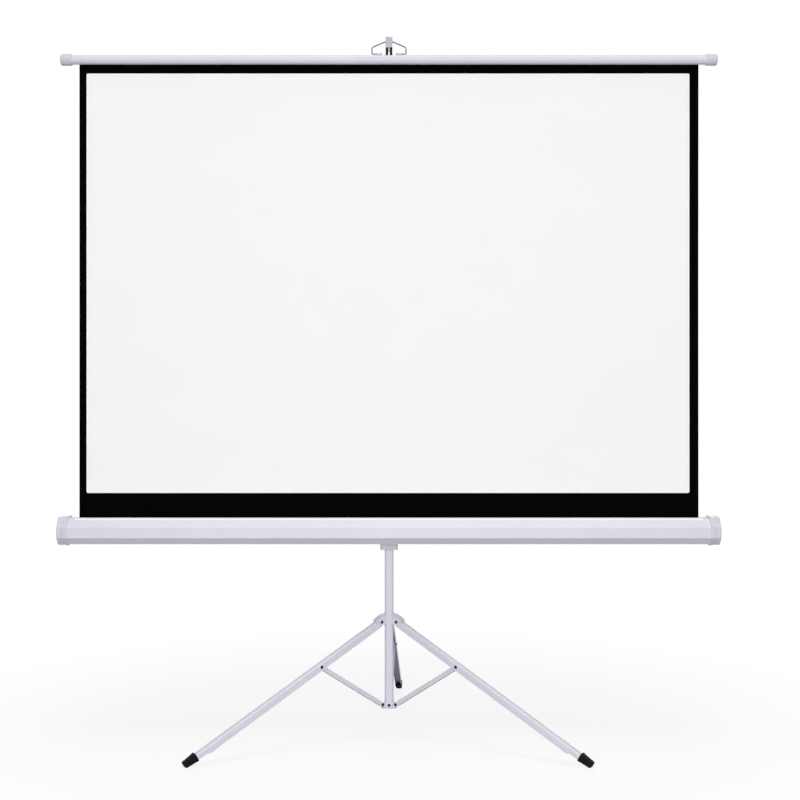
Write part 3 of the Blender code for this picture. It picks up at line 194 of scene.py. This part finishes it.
def mouldedRubber(facts):
    # moulded EPDM rubber: nearly black, dull, a little paler where it has rubbed
    made, tree, shader = startMaterial("moulded_rubber",
                                       {"IOR": 1.52, "Specular IOR Level": facts["specular"]})
    where = add(tree, "ShaderNodeTexCoord").outputs["Object"]
    rub = add(tree, "ShaderNodeTexNoise", {"Scale": 1000 / facts["rubMm"], "Detail": 5.0},
              {"Vector": where})
    tint = add(tree, "ShaderNodeMix",
               {"data_type": "RGBA", 6: srgb(facts["dark"]), 7: srgb(facts["light"])},
               {0: rub.outputs["Fac"]})
    finishSurface(tree, shader, facts, tint.outputs[2], rub.outputs["Fac"])
    return made


drawnFacts = {"drawMm": 1.5, "stretch": (0.08, 1.0, 1.0)}
platedSteelFacts = {"light": "#A4A4A8", "dark": "#808086", "rough": (0.25, 0.4)}
springWireFacts = {"light": "#8E8E94", "dark": "#6C6C72", "rough": (0.3, 0.45)}


def platedSteel(name, own):
    # zinc-plated steel: bright grey metal with fine drawing lines
    # real lines are about 0.1 mm apart and are drawn 1.5 mm apart so that they can be seen
    facts = {**drawnFacts, **own}
    made, tree, shader = startMaterial(name, {"Metallic": 1.0})
    where = add(tree, "ShaderNodeTexCoord").outputs["Object"]
    stretch = add(tree, "ShaderNodeMapping", {"Scale": facts["stretch"]}, {"Vector": where})
    lines = add(tree, "ShaderNodeTexNoise", {"Scale": 1000 / facts["drawMm"], "Detail": 3.0},
                {"Vector": stretch.outputs["Vector"]})
    tint = add(tree, "ShaderNodeMix",
               {"data_type": "RGBA", 6: srgb(facts["dark"]), 7: srgb(facts["light"])},
               {0: lines.outputs["Fac"]})
    finishSurface(tree, shader, facts, tint.outputs[2], lines.outputs["Fac"])
    return made


clothLow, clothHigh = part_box("screen_fabric")
# the white field has a half width, a middle, a lowest and a highest height; above lipHighlightFrom, a
# painted highlight
clothFacts = {
    "width": clothHigh.x - clothLow.x, "bottom": clothLow.z, "top": clothHigh.z,
    "plane": middleOf("screen_fabric").y, "thick": 0.0005, "columns": 121, "rows": 91,
    "waveHigh": 0.0008, "waves": 1.1, "curlHigh": 0.0010, "curlPower": 8,
    "whiteHalf": 0.84875, "whiteMiddle": -0.00275, "whiteLow": 0.7017, "whiteHigh": 1.8827,
    "corner": 0.004, "lipHighlightFrom": 1.9078,
    "white": "#FCFCFD", "shade": "#F8F8FA", "black": "#010101", "lipHighlight": "#E4E3EA",
    "cloudMm": 142.857, "threadMm": 18.85, "rough": (0.82, 0.95), "bump": (0.02, 0.00002),
    "specular": 0.03,
}


def projectionCloth(facts):
    # matt white PVC on glass-fibre cloth, printed with black borders, and a thin pale painted highlight
    # under the bar
    # its UV map holds metres: across the cloth, and height above the floor
    # real threads are about 0.4 mm apart and are drawn 19 mm apart, as a faint unevenness of the sheen
    made, tree, shader = startMaterial("projection_cloth",
                                       {"IOR": 1.46, "Specular IOR Level": facts["specular"]})
    metres = add(tree, "ShaderNodeUVMap", {"uv_map": "metres"}).outputs["UV"]
    part = add(tree, "ShaderNodeSeparateXYZ", None, {"Vector": metres})
    # rounded rectangle: the length of (max(|x - mx| - a, 0), max(|z - mz| - b, 0)) is past the corner's
    # radius in the border; mx, mz are the middles, and a, b the halves less that radius
    middles = {"X": facts["whiteMiddle"], "Y": (facts["whiteLow"] + facts["whiteHigh"]) / 2}
    halves = {"X": facts["whiteHalf"], "Y": (facts["whiteHigh"] - facts["whiteLow"]) / 2}
    past = {}
    for axis in ("X", "Y"):
        shift = add(tree, "ShaderNodeMath", {"operation": "SUBTRACT", 1: middles[axis]},
                    {0: part.outputs[axis]})
        away = add(tree, "ShaderNodeMath", {"operation": "ABSOLUTE"}, {0: shift.outputs[0]})
        over = add(tree, "ShaderNodeMath",
                   {"operation": "SUBTRACT", 1: halves[axis] - facts["corner"]}, {0: away.outputs[0]})
        past[axis] = add(tree, "ShaderNodeMath", {"operation": "MAXIMUM", 1: 0.0},
                         {0: over.outputs[0]}).outputs[0]
    outside = add(tree, "ShaderNodeCombineXYZ", None, past)
    far = add(tree, "ShaderNodeVectorMath", {"operation": "LENGTH"}, {0: outside.outputs[0]})
    border = add(tree, "ShaderNodeMath", {"operation": "GREATER_THAN", 1: facts["corner"]},
                 {0: far.outputs["Value"]})
    # painted highlight: the cloth is pale above this height, just under the bar
    lipHighlight = add(tree, "ShaderNodeMath", {"operation": "GREATER_THAN", 1: facts["lipHighlightFrom"]},
               {0: part.outputs["Y"]})
    cloud = add(tree, "ShaderNodeTexNoise", {"Scale": 1000 / facts["cloudMm"], "Detail": 2.0},
                {"Vector": metres})
    white = add(tree, "ShaderNodeMix",
                {"data_type": "RGBA", 6: srgb(facts["shade"]), 7: srgb(facts["white"])},
                {0: cloud.outputs["Fac"]})
    printed = add(tree, "ShaderNodeMix", {"data_type": "RGBA", 7: srgb(facts["black"])},
                  {0: border.outputs[0], 6: white.outputs[2]})
    lipHighlightOn = add(tree, "ShaderNodeMix", {"data_type": "RGBA", 7: srgb(facts["lipHighlight"])},
                 {0: lipHighlight.outputs[0], 6: printed.outputs[2]})
    turnsPerMetre = 20 / (2 * math.pi)  # of a wave texture at scale 1, which goes through 20 radians
    threads = [add(tree, "ShaderNodeTexWave",
                   {"bands_direction": axis, "Scale": 1000 / facts["threadMm"] / turnsPerMetre},
                   {"Vector": metres}).outputs["Fac"] for axis in ("X", "Y")]
    weave = add(tree, "ShaderNodeMath", {"operation": "MULTIPLY"}, {0: threads[0], 1: threads[1]})
    finishSurface(tree, shader, facts, lipHighlightOn.outputs[2], weave.outputs[0])
    return made


backFacts = {"light": "#141416", "dark": "#0E0E10", "threadMm": 3.0, "rough": (0.7, 0.85),
             "specular": 0.03}


def blackoutBack(facts):
    # black light-stopping coat on the back of the cloth: dull, with the threads showing through
    # real threads are about 0.4 mm apart and are drawn 3 mm wide so that they can be seen
    made, tree, shader = startMaterial("blackout_coat",
                                       {"IOR": 1.46, "Specular IOR Level": facts["specular"]})
    where = add(tree, "ShaderNodeTexCoord").outputs["Object"]
    threads = add(tree, "ShaderNodeTexNoise", {"Scale": 1000 / facts["threadMm"], "Detail": 2.0},
                  {"Vector": where})
    tint = add(tree, "ShaderNodeMix",
               {"data_type": "RGBA", 6: srgb(facts["dark"]), 7: srgb(facts["light"])},
               {0: threads.outputs["Fac"]})
    finishSurface(tree, shader, facts, tint.outputs[2], threads.outputs["Fac"])
    return made


paint = powderCoat("powder_coat", paintFacts)
dullPaint = powderCoat("dull_powder_coat", dullPaintFacts)
# the next two coats are painted shade, made like the powder coat but darker
braceShade = powderCoat("brace_painted_shade", braceShadeFacts)
legShade = powderCoat("leg_painted_shade", legShadeFacts)
greyPlastic = mouldedPlastic("grey_abs", greyPlasticFacts)
guardHighlight = mouldedPlastic("guard_painted_highlight", guardHighlightFacts)
blackPlastic = mouldedPlastic("black_abs", blackPlasticFacts)
blackSteel = blackenedSteel(blackSteelFacts)
rubber = mouldedRubber(rubberFacts)
steel = platedSteel("plated_steel", platedSteelFacts)
springWire = platedSteel("spring_steel_wire", springWireFacts)
clothFront = projectionCloth(clothFacts)
clothBack = blackoutBack(backFacts)

print("stage: frame pieces")
finishOfSlot = {
    "light_grey_paint": paint, "light_grey_plastic": greyPlastic, "black_plastic": blackPlastic,
    "blackened_steel": blackSteel, "black_rubber": rubber, "bright_steel": steel,
    "screen_cloth": clothBack,
}
edgeFacts = {"join": 0.00001, "frameAngle": math.radians(32), "trimAngle": math.radians(38)}

for entry in frame["record"]["subparts"]:
    # loose triangles are joined, and those that meet at less than the angle shade as one curve
    solid = frame["nodes"][entry["node"]]
    solid.data.materials.clear()
    solid.data.materials.append(finishOfSlot[entry["material_slot"]])
    solid.data.polygons.foreach_set("use_smooth", [True] * len(solid.data.polygons))
    solid.modifiers.new("join_faces", "WELD").merge_threshold = edgeFacts["join"]
    solid.modifiers.new("keep_edges", "EDGE_SPLIT").split_angle = edgeFacts["frameAngle"]
frame["nodes"]["pole_hook"].data.materials[0] = dullPaint

# each channel's coat is painted shade, laid inside and under the channel where shade falls
channelFacts = {
    "brace": {"ends": ("brace_pin_", "brace_foot_pin_"), "half": 0.0078, "wall": 0.0011, "coat": braceShade},
    "leg": {"ends": ("brace_pin_", "leg_pin_"), "half": 0.0100, "wall": 0.0012, "coat": legShade},
}
insideShadeFacts = {"down": -0.3, "back": -0.7, "wallShare": 0.4}


def paintInsideShade(kind, side, facts, limits):
    # painted shade: a face takes the darker coat if its normal points down, as under the closed side and
    # on the walls' edges, or back to the middle from a wall, and its centre lies deeper than a share of
    # the wall
    ends = [middleOf(pin + side) for pin in facts["ends"]]
    along = (ends[0] - ends[1]).normalized()
    across = Vector((-along.y, along.x, 0)).normalized()
    up = along.cross(across)
    if up.z < 0:
        up = -up
    mesh = frame["nodes"][kind + "_" + side].data
    centre, normal = np.empty((2, len(mesh.polygons) * 3))
    mesh.polygons.foreach_get("center", centre)
    mesh.polygons.foreach_get("normal", normal)
    centre, normal = centre.reshape(-1, 3) - np.array(ends[1]), normal.reshape(-1, 3)
    beside = centre @ np.array(across)
    down = normal @ np.array(up) < limits["down"]
    back = np.sign(beside) * (normal @ np.array(across)) < limits["back"]
    within = np.abs(beside) < facts["half"] - limits["wallShare"] * facts["wall"]
    mesh.materials.append(facts["coat"])
    mesh.polygons.foreach_set("material_index", (within & (down | back)).astype(int))


for kind, facts in channelFacts.items():
    for side in ("left", "right", "rear"):
        paintInsideShade(kind, side, facts, insideShadeFacts)


def gridObject(name, points, materials, closedRows=False, capEnds=False):
    # points: rows x columns x 3, each cell a face; closedRows joins a row's last point to its first,
    # and capEnds closes the first and the last row with one face each and turns all faces outwards
    rows, columns = points.shape[:2]
    number = np.arange(rows * columns).reshape(rows, columns)
    if closedRows:
        number = np.concatenate([number, number[:, :1]], axis=1)
    faces = np.stack([number[:-1, :-1], number[:-1, 1:], number[1:, 1:], number[1:, :-1]], axis=-1)
    faces = faces.reshape(-1, 4).tolist()
    if capEnds:
        faces += [list(range(columns))[::-1], list(range((rows - 1) * columns, rows * columns))]
    mesh = bpy.data.meshes.new(name)
    mesh.from_pydata(points.reshape(-1, 3).tolist(), [], faces)
    mesh.polygons.foreach_set("use_smooth", [True] * len(mesh.polygons))
    for material in materials:
        mesh.materials.append(material)
    if capEnds:
        shell = bmesh.new()
        shell.from_mesh(mesh)
        bmesh.ops.recalc_face_normals(shell, faces=shell.faces)
        shell.to_mesh(mesh)
        shell.free()
    mesh.update()
    made = bpy.data.objects.new(name, mesh)
    bpy.context.scene.collection.objects.link(made)
    return made


def cornerCurve(start, corner, end, count):
    # quadratic curve: (1 - t) ** 2 * start + 2 * t * (1 - t) * corner + t ** 2 * end, t from 0 to 1
    t = np.linspace(0, 1, count)[:, None]
    start, corner, end = start[..., None, :], corner[..., None, :], end[..., None, :]
    return (1 - t) ** 2 * start + 2 * t * (1 - t) * corner + t ** 2 * end


def grooveDepth(along, facts):
    # groove * sin(pi * grooves * t) ** 2, where t goes from 0 at grooveFrom to 1 at grooveTo
    t = (along - facts["grooveFrom"]) / (facts["grooveTo"] - facts["grooveFrom"])
    return facts["groove"] * np.where((t > 0) & (t < 1), np.sin(np.pi * facts["grooves"] * t) ** 2, 0.0)


print("stage: screen cloth")


def makeCloth(facts):
    # y = plane + sin(pi v) ** 2 * (waveHigh * sin(2 pi waves u) + curlHigh * |u| ** curlPower),
    # for u from -1 to 1 across and v from 0 to 1 upwards
    u, v = np.meshgrid(np.linspace(-1, 1, facts["columns"]), np.linspace(0, 1, facts["rows"]))
    x = u * facts["width"] / 2
    z = facts["bottom"] + v * (facts["top"] - facts["bottom"])
    wave = facts["waveHigh"] * np.sin(2 * np.pi * facts["waves"] * u)
    curl = facts["curlHigh"] * np.abs(u) ** facts["curlPower"]
    y = facts["plane"] + np.sin(np.pi * v) ** 2 * (wave + curl)
    made = gridObject("projection_cloth", np.stack([x, y, z], axis=-1), [clothFront, clothBack])
    uv = made.data.uv_layers.new(name="metres")
    corner = np.empty(len(made.data.loops), int)
    made.data.loops.foreach_get("vertex_index", corner)
    uv.data.foreach_set("uv", np.stack([x.ravel()[corner], z.ravel()[corner]], axis=-1).ravel())
    wall = made.modifiers.new("thickness", "SOLIDIFY")
    wall.thickness = facts["thick"]
    wall.offset = 0.0
    wall.material_offset = 1
    wall.material_offset_rim = 1
    return made


cloth = makeCloth(clothFacts)
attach(cloth, "case")
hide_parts("screen_fabric")
# at its limit the bar has come down by 0.78 m, and the cloth is 1.3145 m high
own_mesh(cloth)

rollFacts = {"width": clothFacts["width"], "inner": 0.0106, "outer": 0.0152, "turns": 8, "perTurn": 40,
             "columns": 5, "thick": 0.0004}


def makeRoll(facts):
    # spiral: radius grows evenly from inner to outer over the turns, the same all along the width
    turn = np.linspace(0, 1, facts["perTurn"] * facts["turns"] + 1)
    angle = 2 * np.pi * facts["turns"] * turn
    radius = facts["inner"] + (facts["outer"] - facts["inner"]) * turn
    axis = middleOf("roller_tube")
    x = np.linspace(-facts["width"] / 2, facts["width"] / 2, facts["columns"])
    y = axis.y + radius * np.cos(angle)
    z = axis.z + radius * np.sin(angle)
    points = np.stack(np.broadcast_arrays(x[None, :], y[:, None], z[:, None]), axis=-1)
    made = gridObject("wound_cloth", points, [clothBack])
    wall = made.modifiers.new("thickness", "SOLIDIFY")
    wall.thickness = facts["thick"]
    wall.offset = 0.0
    return made, float(np.hypot(np.diff(y), np.diff(z)).sum())


roll, rollLength = makeRoll(rollFacts)
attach(roll, "roller")
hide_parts("fabric_roll")

print("stage: bail")
# foot, half and apex are distances from the middle, and shoulder and length from the hinge's axis
bailFacts = {"rise": 0.01645, "wire": 0.0021, "foot": 0.020, "half": 0.048, "shoulder": 0.026,
             "apex": 0.0115, "length": 0.048440, "lean": 0.54591, "bend": 0.005, "bendPoints": 9,
             "roundPoints": 16}
hingeAxis = middleOf("top_bar") + Vector((0, 0, bailFacts["rise"]))


def makeBail(facts):
    # a circle carried along a flat path whose corners are quadratic curves between the points a bend
    # away; the path starts on the hinge's axis, and its plane leans back from upright by lean radians
    half = np.array([(facts["foot"], 0), (facts["half"], 0), (facts["half"], facts["shoulder"]),
                     (facts["apex"], facts["length"])])
    corners = np.concatenate([half * (-1, 1), half[::-1]])
    inner = corners[1:-1]
    before = inner - corners[:-2]
    after = corners[2:] - inner
    start = inner - facts["bend"] * before / np.linalg.norm(before, axis=1, keepdims=True)
    end = inner + facts["bend"] * after / np.linalg.norm(after, axis=1, keepdims=True)
    curve = cornerCurve(start, inner, end, facts["bendPoints"])
    path = np.concatenate([corners[:1], curve.reshape(-1, 2), corners[-1:]])
    along = np.gradient(path, axis=0)
    along /= np.linalg.norm(along, axis=1, keepdims=True)
    side = np.stack([along[:, 1], -along[:, 0]], axis=1)
    ring = np.linspace(0, 2 * np.pi, facts["roundPoints"], endpoint=False)
    flat = path[:, None] + facts["wire"] * np.cos(ring)[None, :, None] * side[:, None]
    off = np.broadcast_to(facts["wire"] * np.sin(ring), flat.shape[:2])
    cosLean, sinLean = math.cos(facts["lean"]), math.sin(facts["lean"])
    points = np.stack([flat[..., 0], hingeAxis.y + flat[..., 1] * sinLean + off * cosLean,
                       hingeAxis.z + flat[..., 1] * cosLean - off * sinLean], axis=-1)
    return gridObject("bail_wire", points, [springWire], closedRows=True, capEnds=True)


bail = makeBail(bailFacts)
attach(bail, "bail")
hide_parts("bail")

saddleFacts = {"start": 0.023, "length": 0.012, "bore": 0.0023, "outer": 0.0033, "drop": 0.00315,
               "archPoints": 17, "rows": 3}


def makeSaddle(side, way, facts):
    # an arch over the wire: half circles of the two radii joined by straight legs, carried along the bar
    turn = np.linspace(0, np.pi, facts["archPoints"])
    outer = facts["outer"] * np.stack([np.cos(turn), np.sin(turn)], axis=1)
    inner = facts["bore"] * np.stack([np.cos(turn[::-1]), np.sin(turn[::-1])], axis=1)
    legs = np.array([(-facts["outer"], -facts["drop"]), (-facts["bore"], -facts["drop"])])
    section = np.concatenate([outer, legs, inner, -legs[::-1] * (1, -1)])
    x = way * (facts["start"] + facts["length"] * np.linspace(0, 1, facts["rows"]))
    points = np.stack(np.broadcast_arrays(x[:, None], hingeAxis.y + section[None, :, 0],
                                          hingeAxis.z + section[None, :, 1]), axis=-1)
    return gridObject("bail_saddle_" + side, points, [paint], closedRows=True, capEnds=True)


for side, way in (("left", -1), ("right", 1)):
    saddle = makeSaddle(side, way, saddleFacts)
    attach(saddle, "bar")
    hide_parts("bail_clip_" + side)

print("stage: feet")
# start and end are distances from the leg's pivot along the leg, and mouth, tip and socket half widths
footFacts = {
    "slope": math.radians(29), "middle": -0.00025, "start": 0.6343, "end": 0.6733,
    "mouth": 0.0120, "tip": 0.0090, "corner": 5, "round": 0.0025, "chamfer": 0.0006, "firstRow": 0.002,
    "socket": (0.0103, 0.00805), "socketCorner": 16, "socketDepth": 0.0135,
    "grooves": 6, "grooveFrom": 0.006, "grooveTo": 0.030, "groove": 0.0007,
    "roundPoints": 64, "wallRows": 61, "noseRows": 6, "soleRings": (0.7, 0.4, 0.1),
}


def makeFoot(side, facts):
    # rounded square |x / a| ** n + |y / b| ** n = 1 carried along the leg, n is the corner number; the
    # walls taper from mouth to tip with even grooves, and what would be under the floor is flat on it
    full = facts["end"] - facts["start"]
    wallRows = np.linspace(facts["firstRow"], full - facts["round"], facts["wallRows"])
    wall = np.concatenate([[facts["chamfer"]], wallRows])
    taper = facts["mouth"] + (facts["tip"] - facts["mouth"]) * wall / full
    arc = np.linspace(0, np.pi / 2, facts["noseRows"] + 1)[1:]
    nose = facts["tip"] + (facts["mouth"] - facts["tip"]) * facts["round"] / full - facts["round"]
    sole = nose * np.array(facts["soleRings"])
    along = np.concatenate([[facts["socketDepth"], 0.0, 0.0], wall,
                            full - facts["round"] * (1 - np.sin(arc)), np.full(len(sole), full)])
    outer = np.concatenate([taper - grooveDepth(wall, facts), nose + facts["round"] * np.cos(arc), sole])
    lip = facts["mouth"] - facts["chamfer"]
    halfX = np.concatenate([[facts["socket"][0]] * 2, [lip], outer])
    halfY = np.concatenate([[facts["socket"][1]] * 2, [lip], outer])
    power = np.full(len(along), 2 / facts["corner"])
    power[:2] = 2 / facts["socketCorner"]
    t = np.linspace(0, 2 * np.pi, facts["roundPoints"], endpoint=False)
    x = halfX[:, None] * np.sign(np.cos(t)) * np.abs(np.cos(t)) ** power[:, None]
    y = halfY[:, None] * np.sign(np.sin(t)) * np.abs(np.sin(t)) ** power[:, None] + facts["middle"]
    mast = middleOf("mast_tube")
    pin = middleOf("leg_pin_" + side)
    out = (pin - mast).to_2d()
    cosSlope, sinSlope = math.cos(facts["slope"]), math.sin(facts["slope"])
    down = facts["start"] + along[:, None]
    far = out.length + down * cosSlope + y * sinSlope
    z = np.maximum(pin.z - down * sinSlope + y * cosSlope, 0.0)
    out.normalize()
    points = np.stack([mast.x + far * out.x - x * out.y, mast.y + far * out.y + x * out.x, z], axis=-1)
    made = gridObject("ribbed_foot_" + side, points, [rubber], closedRows=True, capEnds=True)
    made.modifiers.new("keep_edges", "EDGE_SPLIT").split_angle = edgeFacts["trimAngle"]
    return made


for side in ("left", "right", "rear"):
    foot = makeFoot(side, footFacts)
    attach(foot, "leg_" + side)
    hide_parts("foot_" + side)

print("stage: case trim")
shellLow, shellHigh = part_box("case_shell")
slotLip = 0.0023  # the shell's highest point is the lip of its slot, this far above its top face
# upperFacet and lowerFacet are the depth and the height of a slanted facet
caseFacts = {
    "front": shellLow.y, "back": shellHigh.y, "top": shellHigh.z - slotLip, "bottom": shellLow.z,
    "half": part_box("end_cap_right")[1].x, "upperFacet": (0.021, 0.0235), "lowerFacet": (0.017, 0.0186),
    "backFacet": 0.006, "round": 0.0022, "bendPoints": 5,
}
capFacts = {
    "length": 0.028, "socketDepth": 0.0137, "gap": 0.0003, "wall": 0.0021, "rise": 0.0030,
    "bead": 0.0014, "beadLength": 0.0035, "chamfer": 0.0006,
    "grooves": 3, "grooveFrom": 0.0065, "grooveTo": 0.0200, "groove": 0.0016,
    "noseLength": 0.006, "noseDrop": 0.0036, "firstRow": 0.0004, "rows": 90,
}


def caseSection(facts, grow, rise):
    # every corner moves out by grow * (n1 + n2) / (1 + n1 . n2), where n1 and n2 are its edges' normals;
    # the upper half is lifted by rise, and each corner is a quadratic curve
    corner = np.array([
        (facts["front"], facts["top"] - facts["upperFacet"][1]),
        (facts["front"], facts["bottom"] + facts["lowerFacet"][1]),
        (facts["front"] + facts["lowerFacet"][0], facts["bottom"]),
        (facts["back"] - facts["backFacet"], facts["bottom"]),
        (facts["back"], facts["bottom"] + facts["backFacet"]),
        (facts["back"], facts["top"] - facts["backFacet"]),
        (facts["back"] - facts["backFacet"], facts["top"]),
        (facts["front"] + facts["upperFacet"][0], facts["top"]),
    ])
    after = np.roll(corner, -1, axis=0) - corner
    after /= np.linalg.norm(after, axis=1, keepdims=True)
    before = np.roll(after, 1, axis=0)
    outAfter = np.stack([after[:, 1], -after[:, 0]], axis=1)
    outBefore = np.roll(outAfter, 1, axis=0)
    mitre = (outAfter + outBefore) / (1 + (outAfter * outBefore).sum(axis=1, keepdims=True))
    moved = corner + grow[:, None, None] * mitre
    middle = (facts["top"] + facts["bottom"]) / 2
    moved[..., 1] += rise[:, None] * np.clip((corner[:, 1] - middle) / (facts["top"] - middle), 0, 1)
    start, end = moved - facts["round"] * before, moved + facts["round"] * after
    return cornerCurve(start, moved, end, facts["bendPoints"]).reshape(len(grow), -1, 2)


def makeEndCap(side, way, case, facts):
    # the case's section carried along the case: a bead at the mouth, even grooves, and a rounded nose,
    # which draws in by noseDrop * (1 - sqrt(1 - t ** 2)), t from 0 to 1 over the nose's length
    outside = np.linspace(facts["firstRow"], facts["length"], facts["rows"])
    bead = facts["bead"] * np.clip((facts["beadLength"] - outside) / facts["chamfer"], 0, 1)
    nose = np.clip((outside - facts["length"] + facts["noseLength"]) / facts["noseLength"], 0, 1)
    drop = facts["noseDrop"] * (1 - np.sqrt(1 - nose ** 2))
    lip = facts["wall"] + facts["bead"] - facts["chamfer"]
    along = np.concatenate([[facts["socketDepth"], 0.0, 0.0], outside])
    grow = np.concatenate([[facts["gap"], facts["gap"], lip],
                           facts["wall"] + bead - grooveDepth(outside, facts) - drop])
    rise = np.concatenate([[0.0, 0.0], np.full(len(grow) - 2, facts["rise"])])
    section = caseSection(case, grow, rise)
    x = way * (case["half"] - facts["length"] + along)
    points = np.stack([np.broadcast_to(x[:, None], section.shape[:2]), section[..., 0], section[..., 1]],
                      axis=-1)
    made = gridObject("ribbed_end_cap_" + side, points, [greyPlastic], closedRows=True, capEnds=True)
    made.modifiers.new("keep_edges", "EDGE_SPLIT").split_angle = edgeFacts["trimAngle"]
    return made


for side, way in (("left", -1), ("right", 1)):
    endCap = makeEndCap(side, way, caseFacts, capFacts)
    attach(endCap, "case")
    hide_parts("end_cap_" + side)

guardFacts = {"half": 0.880, "fromCloth": 0.0063, "reach": 0.0117, "drop": 0.0035, "lip": 0.0024,
              "sunk": 0.0008, "toe": 0.0006, "inset": 0.0004, "bowPoints": 13, "rows": 9}


def makeGuard(case, facts):
    # a quarter ellipse from the slot's lip down onto the upper facet, closed inside the case's wall
    turn = np.linspace(np.pi / 2, 0, facts["bowPoints"])
    back = clothFacts["plane"] - facts["fromCloth"]
    high = case["top"] - facts["drop"]
    under = case["top"] - facts["sunk"]
    bow = np.stack([back - facts["reach"] * np.cos(turn),
                    high + (facts["drop"] + facts["lip"]) * np.sin(turn)], axis=1)
    hidden = np.array([(back - facts["reach"] + facts["toe"], high - facts["sunk"]),
                       (case["front"] + case["upperFacet"][0] + facts["inset"], under), (back, under)])
    section = np.concatenate([bow, hidden])
    x = np.linspace(-facts["half"], facts["half"], facts["rows"])
    points = np.stack(np.broadcast_arrays(x[:, None], section[None, :, 0], section[None, :, 1]), axis=-1)
    # the guard's near-white is a painted highlight along the slot's lip
    made = gridObject("slot_guard", points, [guardHighlight], closedRows=True, capEnds=True)
    made.modifiers.new("keep_edges", "EDGE_SPLIT").split_angle = edgeFacts["trimAngle"]
    return made


guard = makeGuard(caseFacts, guardFacts)
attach(guard, "case")

print("stage: floor and light")


def raysToPlainWhite(tree):
    # 1 for rays from the camera, through glass or off gloss, and 0 for rays that light the object
    rays = add(tree, "ShaderNodeLightPath")
    straight = add(tree, "ShaderNodeMath", {"operation": "MAXIMUM"},
                   {0: rays.outputs["Is Camera Ray"], 1: rays.outputs["Is Transmission Ray"]})
    return add(tree, "ShaderNodeMath", {"operation": "MAXIMUM"},
               {0: straight.outputs[0], 1: rays.outputs["Is Glossy Ray"]}).outputs[0]


floorFacts = {"size": 30.0, "seen": "#FDFDFD", "bounce": "#808084", "rough": 0.9, "lift": 0.82,
              "fadeFrom": 0.8, "fadeTo": 1.6}


def studioPaper(facts):
    # matt white paper: a share of it is lit and takes the object's shadow, and that share fades to
    # nothing away from the middle, where the paper is plain white
    made, tree, shader = startMaterial("studio_paper",
                                       {"Roughness": facts["rough"], "Specular IOR Level": 0.0})
    looked = raysToPlainWhite(tree)
    seen = add(tree, "ShaderNodeMix",
               {"data_type": "RGBA", 6: srgb(facts["bounce"]), 7: srgb(facts["seen"])}, {0: looked})
    tree.links.new(seen.outputs[2], shader.inputs["Base Color"])
    fromMiddle = add(tree, "ShaderNodeVectorMath", {"operation": "LENGTH"},
                     {0: add(tree, "ShaderNodeTexCoord").outputs["Object"]})
    fade = add(tree, "ShaderNodeMapRange",
               {"From Min": facts["fadeFrom"], "From Max": facts["fadeTo"], "To Min": facts["lift"]},
               {"Value": fromMiddle.outputs["Value"]})
    plain = add(tree, "ShaderNodeMath", {"operation": "MULTIPLY"},
                {0: fade.outputs["Result"], 1: looked})
    glow = add(tree, "ShaderNodeEmission", {"Strength": 1.0})
    blend = add(tree, "ShaderNodeMixShader", None,
                {0: plain.outputs[0], 1: shader.outputs[0], 2: glow.outputs[0]})
    tree.links.new(blend.outputs[0], tree.nodes["Material Output"].inputs["Surface"])
    return made


edges = floorFacts["size"] * np.array([-0.5, 0.5])
across, away = np.meshgrid(edges, edges)
floor = gridObject("floor", np.stack([across, away, np.zeros_like(away)], axis=-1),
                   [studioPaper(floorFacts)])

worldFacts = {"fill": 0.32}
world = bpy.data.worlds.new("studio")
bpy.context.scene.world = world
world.use_nodes = True
sky = world.node_tree
level = add(sky, "ShaderNodeMapRange", {"To Min": worldFacts["fill"], "To Max": 1.0},
            {"Value": raysToPlainWhite(sky)})
sky.nodes["Background"].inputs["Color"].default_value = (1, 1, 1, 1)
sky.links.new(level.outputs["Result"], sky.nodes["Background"].inputs["Strength"])

lampFacts = {
    "front": {"place": (0.0, -6.4, 0.9), "aim": (0, -0.2, 1.0), "size": 3.0, "watts": 318},
    "top": {"place": (0.4, -1.9, 9.5), "aim": (0, -0.2, 0.6), "size": 4.0, "watts": 262},
    "back": {"place": (0.0, 6.0, 2.2), "aim": (0, 0, 0.9), "size": 3.0, "watts": 110},
}
for name, facts in lampFacts.items():
    lamp = bpy.data.lights.new(name, "AREA")
    lamp.size = facts["size"]
    lamp.energy = facts["watts"]
    holder = bpy.data.objects.new(name, lamp)
    holder.location = facts["place"]
    beam = Vector(facts["aim"]) - Vector(facts["place"])
    holder.rotation_euler = beam.to_track_quat("-Z", "Y").to_euler()
    bpy.context.scene.collection.objects.link(holder)
